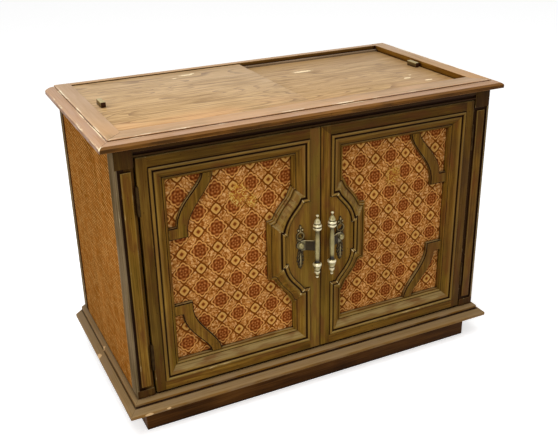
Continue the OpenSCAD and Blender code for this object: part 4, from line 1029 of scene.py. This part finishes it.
def grille(side, name, rosette_x_mm, rosette_z_mm):
    """A sheet stapled flat behind the door's opening, with a slight slackness between its edges. Its
    print is placed by one of its rosettes."""
    low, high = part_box(name + "_grille_cloth")
    wide, tall = high.x - low.x, high.z - low.z
    thick = (high.y - low.y) * THREAD_SHARE
    points = []
    for r in range(CLOTH_ROWS + 1):
        for c in range(CLOTH_COLUMNS + 1):
            s, t = c / CLOTH_COLUMNS, r / CLOTH_ROWS
            x, z = low.x + wide * s, low.z + tall * t
            slack = 16 * s * (1 - s) * t * (1 - t)
            ripple = 0.4 * noise.noise(Vector((x * 7, z * 7, side)))
            ripple += 0.2 * noise.noise(Vector((x * 25, z * 4, side + 3)))
            y = low.y + thick / 2 + 0.02 * MM + slack * (0.25 + ripple) * SLACK_MM * MM
            points.append((x, y, z))
    up = CLOTH_COLUMNS + 1
    faces = [(a, a + 1, a + up + 1, a + up) for a in range(CLOTH_ROWS * up) if (a + 1) % up]
    obj = meshed(name + "_cloth", points, [], faces)
    layer = obj.data.uv_layers.new(name="print")
    for loop in obj.data.loops:
        co = obj.data.vertices[loop.vertex_index].co
        layer.data[loop.index].uv = (co.x - rosette_x_mm * MM, co.z - rosette_z_mm * MM)
    modified(obj, "SOLIDIFY", thickness=thick, offset=0.0)
    smooth(obj, 40)
    fitted(obj, name + "_grille_cloth_printed", name + "_door", "grille_cloth", grille_print,
           name + "_grille_cloth")


grille(-1, "left", -199.5, 410.5)
grille(1, "right", 238.8, 409.5)


# ------------------------------------------------------------------ pulls

# From the seam to the middle of the plate and of the bar, and how far the bar stands out in front
PULL_X_MM, BAR_X_MM, BAR_Y_MM = 51.5, 19.0, 21.0
PULL_Z_MM = DOOR_Z_MM + MID_Z_MM + 6
# Half the height of the flat arm that carries the bar, and where across the door it shows by itself
ARM_HALF_MM = 12
ARM_X_MM = (26, 42)
# How far the boss's foot stands in front of the door, on the plate
BOSS_FOOT_MM = 2.3
# The lower and upper end of the bar's shank, from its middle
SHANK_0_MM, SHANK_1_MM = -41.5, 35.5


def blob(size, at, turn=0.0, segments=20):
    """A flattened ball: half sizes and place in millimetres, turned in the plane of the door."""
    bpy.ops.mesh.primitive_uv_sphere_add(segments=segments, ring_count=segments // 2, radius=1)
    obj = bpy.context.object
    obj.data.transform(Matrix.Translation(Vector(at) * MM) @ Matrix.Rotation(math.radians(turn), 4, "Y")
                       @ Matrix.Diagonal(Vector(size) * MM).to_4x4())
    return obj


def eye_ring(major, minor, at, tall):
    """An upright ring: its radius, the radius of its rim and its place in millimetres."""
    bpy.ops.mesh.primitive_torus_add(major_segments=40, minor_segments=12,
                                     major_radius=major * MM, minor_radius=minor * MM)
    obj = bpy.context.object
    obj.data.transform(Matrix.Translation(Vector(at) * MM) @ Matrix.Diagonal((1, 1, tall, 1))
                       @ Matrix.Rotation(math.pi / 2, 4, "X"))
    return obj


def mark_proud(obj, height):
    """Writes how far each point stands proud: 0 in a hollow, 0.5 on plain ground, 1 on a height."""
    attribute(obj, "proud", "FLOAT", "POINT",
              [max(0.0, min(1.0, height(v.co / MM))) for v in obj.data.vertices], "value")


def pull_plate(at):
    """The pierced plate, cast in relief: scrolls round the eye, a fleur tip and a hanging leaf."""
    parts = [blob((10.6, 2.6, 10.6), (0, 0, 0), segments=32),
             eye_ring(8.6, 2.3, (0, -0.4, 22.6), 1.04),
             blob((3.6, 2.8, 7.5), (0, 0, 11.5)), blob((2.6, 2.4, 5.5), (6.2, 0, 11), 25),
             blob((2.6, 2.4, 5.5), (-6.2, 0, 11), -25),
             blob((3.4, 2.9, 3.4), (5.0, -0.3, 37.3)), blob((3.4, 2.9, 3.4), (-5.0, -0.3, 37.3)),
             blob((2.6, 2.7, 4.4), (0, -0.2, 35)), blob((3.5, 2.9, 6.6), (0, -0.2, 43.6)),
             blob((1.5, 2.0, 3.6), (0, 0, 47.0)),
             blob((1.6, 3.4, 24.5), (0, -0.3, -36.5))]
    # The leaf's lobes, from the boss down
    for z, reach, lean, long in ((-16, 3.6, 24, 8.0), (-25, 4.9, 28, 8.8), (-34.5, 5.2, 26, 8.6),
                                 (-43.5, 3.8, 22, 7.6), (-51, 2.1, 14, 7.0)):
        for side in (-1, 1):
            parts.append(blob((2.5, 2.5, long), (side * reach, 0.1, z), -side * lean))
    plate = joined("pull_plate", parts)
    modified(plate, "REMESH", mode="VOXEL", voxel_size=0.55 * MM)
    modified(plate, "SMOOTH", factor=0.5, iterations=2)
    edited(plate, (bpy.ops.mesh.bisect, {"plane_co": (0, 0, 0), "plane_no": (0, 1, 0),
                                         "clear_outer": True, "use_fill": True}))
    mark_proud(plate, lambda co: (-co.y - 0.6) * 0.33)
    plate.data.transform(Matrix.Translation(Vector(at) * MM))
    smooth(plate, 50)
    return plate


def from_height(z0, profile):
    """A profile's radii, with its heights counted from z0."""
    return [(r, z0 + z) for r, z in profile]


# Radius and height of the bar, from its lower tip up
BAR_PROFILE = (
    [(0, SHANK_0_MM - 40.1)] + arc(0, SHANK_0_MM - 36.5, 3.6, -70, 52, 7)
    + from_height(SHANK_0_MM, [
        (2.5, -33.3), (3.0, -32.6), (3.2, -31.8), (5.0, -28.8), (6.2, -26), (6.6, -24), (6.3, -22.4),
        (5.3, -21.2), (5.2, -20.6), (5.8, -19.6), (6.6, -17.6), (7.6, -15), (8.5, -12.6), (8.9, -10.6),
        (8.9, -9.6), (8.6, -8.9), (9.6, -8.2), (10.1, -6.8), (10.15, -5.2), (9.8, -3.4), (8.2, -1.8),
        (6.2, -0.7), (4.8, 0), (5.0, 12), (5.5, 28)])
    + [(5.7, (SHANK_0_MM + SHANK_1_MM) / 2)]
    + from_height(SHANK_1_MM, [
        (5.5, -26), (4.9, -10), (4.5, 0), (4.8, 0.9), (6.6, 2.4), (8.6, 4.4), (10.0, 6.6), (10.15, 8.0),
        (10.0, 9.4), (8.3, 10.4), (8.0, 11.0), (8.4, 11.7), (9.5, 12.8), (9.8, 14.4), (9.3, 16.0),
        (7.4, 17.6), (6.3, 18.3), (6.4, 18.9), (7.2, 20.2), (7.3, 21.6), (6.9, 23.6), (5.9, 26.2),
        (4.3, 28.8), (2.9, 30.6), (2.0, 32.2), (1.8, 33.6), (1.9, 34.6)])
    + arc(0, SHANK_1_MM + 38.4, 3.4, -56, 70, 8) + [(0, SHANK_1_MM + 41.7)])


def bar_relief(co):
    """How far the bar's radius at a height stands out from its mean over 4 mm up and down."""
    rows = [(abs(z + PULL_Z_MM - co.z), r, z) for r, z in BAR_PROFILE]
    here = min(rows)[1]
    near = [r for away, r, z in rows if away < 4]
    return 0.5 + (here - sum(near) / len(near)) * 0.3 + (0.12 if here > 6 else 0.0)


def pull_bar():
    """The turned bar, the flat arm that carries it, and the domed boss on the plate."""
    bar = turned("bar", BAR_PROFILE, 40, (-BAR_X_MM, FRONT_MM - BAR_Y_MM, PULL_Z_MM))
    boss = turned("boss", [(0, 0), (9.4, 0), (9.6, 0.8), (9.1, 1.5), (7.9, 1.9), (7.8, 2.5)]
                  + arc(0, 2.6, 7.6, 5, 88, 9) + [(0, 10.2)], 40,
                  (-PULL_X_MM, FRONT_MM - BOSS_FOOT_MM, PULL_Z_MM), Matrix.Rotation(math.pi / 2, 4, "X"))
    # The arm's plan, from the boss to the bar
    reach = PULL_X_MM - BAR_X_MM
    plan = [(0, -4), (0, -6.4), (9, -8), (reach - 1, -22.5), (reach + 1, -21), (reach + 1, -19), (11, -5),
            (7, -4)]
    arm = prism("arm", [(x - PULL_X_MM, y + FRONT_MM) for x, y in plan], PULL_Z_MM - ARM_HALF_MM,
                PULL_Z_MM + ARM_HALF_MM)
    modified(arm, "BEVEL", width=0.7 * MM, segments=2, limit_method="ANGLE")
    mark_proud(bar, bar_relief)
    mark_proud(boss, lambda co: 0.5 if co.y < FRONT_MM - BOSS_FOOT_MM - 2.9 else 0.3)
    # The arm's top face is marked high, so that it is painted bright, as a highlight from the light above
    mark_proud(arm, lambda co: 0.85 if co.z > PULL_Z_MM + ARM_HALF_MM - 0.5 else 0.3)
    whole = joined("pull", [bar, boss, arm])
    smooth(whole, 40)
    return whole


left_plate = pull_plate((-PULL_X_MM, FRONT_MM, PULL_Z_MM))
right_plate = mirrored(left_plate, "right_plate")
left_bar = pull_bar()
right_bar = mirrored(left_bar, "right_bar")
for side, plate, bar in (("left", left_plate, left_bar), ("right", right_plate, right_bar)):
    fitted(plate, side + "_pull_plate_cast", side + "_door", "antique_pull_metal", plate_cast,
           side + "_pull_plate")
    fitted(bar, side + "_pull_bar_turned", side + "_door", "antique_pull_metal", pull_cast,
           side + "_pull_bar")
    # The flat arm is blackened like the plate
    bar.data.materials.append(plate_cast)
    for face in bar.data.polygons:
        face.material_index = int(ARM_X_MM[0] < abs(face.center.x) / MM < ARM_X_MM[1])


# ------------------------------------------------------------------ the cabinet's woodwork

# The sunk ground of the posts and the rail lies less than this behind the front face
SUNK_MM = 6.0
# Heights of the plain blocks at a post's head and foot
HEAD_BLOCK_MM, FOOT_BLOCK_MM = 43.0, 19.0
# Half the width of the seam with its rounded edges, and how deep into it its sides are painted black, as
# shade
SEAM_HALF_MM, SEAM_DEEP_MM = 1.9, 4.0
# How far from the seam the left door's stiles are painted lighter, as the light that falls on them
LIT_STILE_MM = 95.0
# Depths between which a brace has its step
BRACE_STEP_MM = (12.1, 14.0)
# Width of the strip beside each rear post that is painted dark as shadow
SHADE_STRIP_MM = 22.0
# The top's moulded edge, in from its outer line: the lip, its shaded part, the quirk's two sides, and
# where the flat begins. Its faces are cut there and twice on the ovolo between.
LIP_MM, SHADED_LIP_MM, QUIRK_MM, EDGE_IN_MM = 3.0, 5.5, (19.2, 25.4), 23.5
EDGE_CUTS_MM = (LIP_MM, SHADED_LIP_MM, 9, 14, *QUIRK_MM)
# Where the ovolo starts, how wide it is, and how far it is filled out
OVOLO_MM, OVOLO_WIDE_MM, OVOLO_RISE_MM = 0.87, 21.13, 1.2
# Up from the underside of the top: its shaded lower edge, and the foot and head of the well's walls
EDGE_LOW_MM, WELL_LOW_MM, WELL_HIGH_MM = 9.0, 7.0, 18.5
# Up from the foot of the base moulding: the nosing's lip and top, the dark line and the upper bead
BASE_LIP_MM, BASE_NOSING_MM, BASE_LINE_MM, BASE_BEAD_MM = (7.0, 10.2), 17.0, (16.4, 20.6), 23.0
BASE_CUTS_MM = (10.0, 16.5, 20.5)


def frame_way(centre):
    """Stiles run up and down, rails run across: they meet at the corners of the door."""
    x = DOOR_X_MM - abs(centre.x) / MM
    z = centre.z / MM - DOOR_Z_MM
    in_rail = (z < BORDER_MM or z > FRAME_Z1_MM) and BORDER_MM < x < FRAME_X1_MM
    return "X" if in_rail else "Z"


def depth_mm(centre):
    """How far behind the cabinet's front face a place lies."""
    return centre.y / MM - FRONT_MM


# Each function below takes a face's centre and normal. A glaze is a share, and less than 0 wipes off
# what the corners of a piece would hold.

def post_glaze(centre, normal):
    """The sunk ground round a post's raised panel holds the most glaze, and its end blocks some."""
    if 1.5 < depth_mm(centre) < SUNK_MM and normal.y < 0.5:
        return 0.85 if centre.x / MM < POST_HALF_MM - CARCASS_HALF_MM or centre.x > 0 else 0.3
    block = not LEDGE_MM + FOOT_BLOCK_MM < centre.z / MM < HEAD_MM - HEAD_BLOCK_MM
    return 0.72 if block and depth_mm(centre) < 3 and abs(normal.x) < 0.5 else 0.12


def post_finish(centre, normal):
    """The outer side and its narrow bead are bleached."""
    return 1 if abs(centre.x) / MM > CARCASS_HALF_MM - 5 else 0


def rear_post_glaze(centre, normal):
    """The rear posts hold none, being bleached all over."""
    return -0.6


def rail_painted_shade(centre, normal):
    """The rail over the doors is painted dark as the shade under the top, most of all where it is sunk above
    its bead.
    """
    return 0.95 if 1.2 < depth_mm(centre) < SUNK_MM and centre.z / MM > RAIL_FOOT_MM + 3 else 0.8


def door_glaze_and_shade(centre, normal):
    """The seam between the doors is painted black at its mouth, as the shade in the gap, but their edges and
    backs show less of the corner darkening than their depth in the gap would give them."""
    if abs(centre.x) / MM < SEAM_HALF_MM and depth_mm(centre) < SEAM_DEEP_MM:
        return 0.97
    if depth_mm(centre) > 1.5:
        return -0.8
    # On the face the top rail is darkest, painted shade under the top, then the stile at the hinges, then
    # the bottom rail
    z = centre.z / MM - DOOR_Z_MM
    if z > FRAME_Z1_MM:
        return 0.45
    if abs(centre.x) / MM > DOOR_X_MM - BORDER_MM:
        return 0.42
    return 0.12 if z < BORDER_MM else 0.0


def door_stile_painted_light(centre, normal):
    """The left door's stiles beside the seam and inside the notch are painted lighter, as the light that
    falls on them.
    """
    beside = -LIT_STILE_MM < centre.x / MM < -SEAM_HALF_MM and frame_way(centre) == "Z"
    return 0.22 if beside and normal.y < -0.7 else 0.0


def brace_step_shade(centre, normal):
    """The narrow step along each side of a brace is painted dark, as the shadow in the step."""
    return 1.0 if BRACE_STEP_MM[0] < depth_mm(centre) < BRACE_STEP_MM[1] else 0.1


def side_strip_shadow(centre, normal):
    """A strip beside the rear post is painted dark, as the shadow of the post, which stands proud of the
    panel.
    """
    return 0.9 if centre.y / MM > REAR_POST_Y_MM - SHADE_STRIP_MM - 1 else 0.0


def pull_front_shade(centre, normal):
    """The front of a block pull is painted dark, as shade."""
    return 0.95 if normal.y < -0.7 else 0.0


def in_mm(centre):
    """How far in from the outer line of the top a place is, and whether it is on the front member."""
    x, y = TOP_HALF_MM - abs(centre.x / MM), centre.y / MM - TOP_FRONT_MM
    return min(x, y), y < x


def top_finish(centre, normal):
    """1 on the moulded edge of the top, 2 on the walls of the well and 3 on the front lower edge, which is
    painted dark as shade.
    """
    w, on_front = in_mm(centre)
    z = centre.z / MM - HEAD_MM
    if w < EDGE_IN_MM - 0.5:
        return 3 if on_front and (w < SHADED_LIP_MM or z < EDGE_LOW_MM) else 1
    if z < WELL_HIGH_MM and abs(normal.z) < 0.6 and centre.y / MM < BACK_MM - 2:
        return 2
    return 1 if z < WELL_LOW_MM else 0


def top_rubbed(centre, normal):
    """Wear on the left is heavy along the lip and on both sides of the quirk."""
    w, on_front = in_mm(centre)
    if normal.z < 0.2:
        return 0.0
    if QUIRK_MM[0] < w < QUIRK_MM[1]:
        return 0.99
    share = 0.75 if on_front else 1.0 if centre.x < 0 else 0.8
    return share * (1.0 if w < LIP_MM else 0.7 if w < SHADED_LIP_MM else 0.52)


def top_curve(co):
    """Fills the facets of the moulded edge, between the lip and the quirk, out to an ovolo."""
    w, _ = in_mm(co)
    z = co.z / MM - HEAD_MM
    share = (w - OVOLO_MM) / OVOLO_WIDE_MM
    if not 0.0015 < share < 0.995 or z < 8.5 + 0.2 * w:
        return co
    rise = OVOLO_RISE_MM * math.sin(math.pi * share ** 0.6)
    return Vector((co.x, co.y, co.z + rise * MM))


def well_wall_shadow(centre, normal):
    """The rear wall of the well is painted darkest, as the shadow that it lies in."""
    return 0.6 if top_finish(centre, normal) == 2 and normal.y < -0.5 else 0.0


def base_line_glaze_and_shade(centre, normal):
    """A dark line of glaze lies at the foot of the base moulding's nosing, painted darker in front as shade.
    """
    if not BASE_LINE_MM[0] < centre.z / MM - FOOT_MM < BASE_LINE_MM[1]:
        return 0.0
    return 0.95 if abs(normal.y) > abs(normal.x) else 0.45


def base_rubbed(centre, normal):
    """The nosing's lip is rubbed most, then the upper bead, then the rest of the nosing."""
    z = centre.z / MM - FOOT_MM
    if BASE_LIP_MM[0] < z < BASE_LIP_MM[1]:
        return 0.8
    if z > BASE_BEAD_MM:
        return 0.55
    return 0.4 if z < BASE_NOSING_MM else 0.0


# What the members of the top share, and what the lengths of the base moulding share
TOP_MEMBER = dict(others=[edge_wood, well_wood, edge_wood_painted_shade], where=top_finish, glaze=well_wall_shadow,
                  wear_and_light_at=top_rubbed, shape=top_curve)
BASE_LENGTH = dict(glaze=base_line_glaze_and_shade, edge=0.8, cuts=[("Z", FOOT_MM + z) for z in BASE_CUTS_MM],
                   wear_and_light_at=base_rubbed, clamp=False)
FRONT_SLOT, DARK_SLOT, TOP_SLOT = "antiqued_front_wood", "dark_stained_wood", "top_laminate"

for i, (side, out) in enumerate((("left", -1), ("right", 1))):
    dressed(side + "_door_frame", antiqued_wood, FRONT_SLOT, frame_way, 0.9, seed=0.13 + i,
            glaze=door_glaze_and_shade, wear_and_light_at=door_stile_painted_light,
            cuts=[("X", out * (DOOR_X_MM - BORDER_MM)), ("X", out * (DOOR_X_MM - FRAME_X1_MM)),
                  ("Y", FRONT_MM + SEAM_DEEP_MM)])
    dressed(side + "_door_braces", antiqued_wood, FRONT_SLOT, "Z", 0.5, seed=0.57 + i, glaze=brace_step_shade)
    dressed(side + "_front_post", antiqued_wood, FRONT_SLOT, "Z", 0.8, seed=0.29 + i, glaze=post_glaze,
            others=[greyed_wood], where=post_finish,
            cuts=[("Z", HEAD_MM - HEAD_BLOCK_MM), ("Z", LEDGE_MM + FOOT_BLOCK_MM),
                  ("X", out * (CARCASS_HALF_MM - POST_HALF_MM))])
    dressed(side + "_rear_post", greyed_wood, FRONT_SLOT, "Z", 0.8, seed=0.83 + i, glaze=rear_post_glaze)
    dressed(side + "_side_panel", side_veneer, "side_veneer", "Z", 0.5, seed=0.41 + i, glaze=side_strip_shadow,
            cuts=[("Y", REAR_POST_Y_MM - SHADE_STRIP_MM)])
    dressed("base_moulding_" + side, base_wood, FRONT_SLOT, "Y", 1.0, seed=0.67 + i, **BASE_LENGTH)
    dressed("plinth_" + side, plinth_wood, DARK_SLOT, "Y", 0.9, seed=0.19 + i)
    dressed("top_frame_" + side, member_wood, TOP_SLOT, "Y", 1.2, seed=0.23 + i, edge=1.05 - 0.2 * i,
            cuts=[("X", out * (TOP_HALF_MM - w)) for w in EDGE_CUTS_MM], **TOP_MEMBER)
    dressed(side + "_top_panel", panel_laminate, TOP_SLOT, "X", 0.8, seed=0.91 + 3 * i, edge=0.1)
    dressed(side + "_panel_pull", block_wood, DARK_SLOT, "Y", 0.7, seed=0.31 + i, edge=0.6,
            glaze=pull_front_shade)
    dressed(side + "_speaker_baffle", inner_wood, "inner_board", "Z", 0.0, seed=0.43 + i)
    dressed(side + "_divider", inner_wood, "inner_board", "Y", 0.0, seed=0.47 + i)
dressed("base_moulding_front", base_wood, FRONT_SLOT, "X", 1.0, **BASE_LENGTH)
dressed("front_top_rail", antiqued_wood, FRONT_SLOT, "X", 0.6, glaze=rail_painted_shade)
for end in ("front", "back"):
    dressed("plinth_" + end, plinth_wood, DARK_SLOT, "X", 0.9, seed=0.5)
for end in ("front", "back"):
    dressed("top_frame_" + end, member_wood, TOP_SLOT, "X", 1.0, seed=0.05, edge=0.8,
            cuts=[("Y", TOP_FRONT_MM + w) for w in EDGE_CUTS_MM], **TOP_MEMBER)
for node in ("bottom_board", "well_front_board", "back_panel", "front_panel_track", "back_panel_track",
             "motor_board"):
    dressed(node, inner_wood, "inner_board", "X", 0.0, seed=0.77)

# Metalwork and the works inside: a finish, its slot and the nodes that have it
for material, slot, nodes in (
        (zinc_steel, "plated_steel", ("ball_catches",)),
        (hinge_painted_shade, "plated_steel", ("cabinet_hinge_leaves", "left_door_hinge_leaves",
                                       "right_door_hinge_leaves")),
        (zinc_steel, "plated_steel", ("back_panel_screws",)),
        (paper_cone, "speaker_paper", ("left_speaker", "right_speaker")),
        (enamel, "deck_enamel", ("deck_plate",)),
        (chrome_steel, "chromed_steel", ("centre_spindle",)),
        (enamel, "deck_enamel", ("amplifier",)),
        (platter_alu, "cast_platter", ("platter",)),
        (rubber, "mat_rubber", ("platter_mat",)),
        (enamel, "deck_enamel", ("tonearm_pivot",)),
        (arm_alu, "arm_tube", ("tonearm",)),
        (gilt_plastic, "knob_plastic", ("volume_knob", "tone_knob"))):
    for node in nodes:
        dressed(node, material, slot, "Z", 0.4)


# ------------------------------------------------------------------ stage, light and camera

def seen_directly(owner):
    """1 for rays of the camera and for those that a shiny or clear piece sends on, otherwise 0."""
    path = add(owner, "LightPath").outputs
    sent_on = add(owner, "Math MAXIMUM", {0: path["Is Glossy Ray"], 1: path["Is Transmission Ray"]})
    return add(owner, "Math MAXIMUM", {0: path["Is Camera Ray"], 1: sent_on})


def painted_white(name, colour, extra):
    """A matt floor that the camera and reflections see brighter, up to white, with shadows kept."""
    m = new_material(name)
    grit = add(m, "TexNoise", {"Vector": add(m, "TexCoord").outputs["Object"], "Scale": 40.0})
    tone = add(m, "Mix", {"Factor": grit, "A": colour, "B": "#ffffff"}, data_type="RGBA")
    matt = add(m, "BsdfDiffuse", {"Color": tone})
    strength = add(m, "Math MULTIPLY", {0: seen_directly(m), 1: extra})
    glow = add(m, "Emission", {"Color": "#ffffff", "Strength": strength})
    add(m, "OutputMaterial", {"Surface": add(m, "AddShader", {0: matt, 1: glow})})
    return m


bpy.ops.mesh.primitive_circle_add(vertices=96, radius=14.0, fill_type="NGON")
floor = bpy.context.object
floor.name = "studio_floor"
floor.data.materials.append(painted_white("painted_floor_white", "#f2f2f2", 0.5))

# The world lights the cabinet softly, and shows white behind it
world = bpy.data.worlds.new("studio")
bpy.context.scene.world = world
world.use_nodes = True
world.node_tree.nodes.clear()
ambient = add(world, "Background", {"Color": "#ffffff", "Strength": 0.46})
backdrop = add(world, "Background", {"Color": "#ffffff", "Strength": 1.0})
add(world, "OutputWorld", {
    "Surface": add(world, "MixShader", {0: seen_directly(world), 1: ambient, 2: backdrop})})


def softbox(name, place, target, size, watts):
    """A rectangular area lamp that points from a place to a target, in metres."""
    lamp = bpy.data.lights.new(name, "AREA")
    lamp.shape = "RECTANGLE"
    lamp.size, lamp.size_y = size
    lamp.energy = watts
    obj = linked(name, lamp)
    obj.location = place
    obj.rotation_euler = (Vector(target) - Vector(place)).to_track_quat("-Z", "Y").to_euler()


softbox("softbox_above", (-0.6, -0.9, 3.2), (0, 0, 0.5), (2.2, 1.6), 60)
softbox("softbox_left", (-3.2, -1.4, 1.7), (0, 0, 0.4), (1.6, 1.6), 37)
softbox("softbox_right", (2.6, -2.8, 1.6), (0, 0, 0.4), (1.6, 1.6), 13)

# The photograph's viewpoint, worked out from the cabinet's corners: a place in metres, the lens in
# millimetres, and how far the camera is turned, tipped down and rolled, in degrees
CAMERA_AT = (-0.8155, -1.69335, 1.1865)
LENS_MM = 52.82
CAMERA_TURNS = (25.8126, 24.4222, -1.0638)

camera_data = bpy.data.cameras.new("camera")
camera_data.sensor_width = 36.0
camera_data.lens = LENS_MM
camera_data.clip_end = 100.0
camera = linked("camera", camera_data)
azimuth, elevation, roll = (math.radians(a) for a in CAMERA_TURNS)
forward = Vector((math.sin(azimuth) * math.cos(elevation), math.cos(azimuth) * math.cos(elevation),
                  -math.sin(elevation)))
level = Vector((math.cos(azimuth), -math.sin(azimuth), 0))
upright = level.cross(forward)
right = math.cos(roll) * level + math.sin(roll) * upright
up = -math.sin(roll) * level + math.cos(roll) * upright
camera.matrix_world = Matrix([(right[i], up[i], -forward[i], CAMERA_AT[i]) for i in range(3)]
                             + [(0, 0, 0, 1)])
bpy.context.scene.camera = camera
bpy.context.scene.view_settings.view_transform = "Standard"
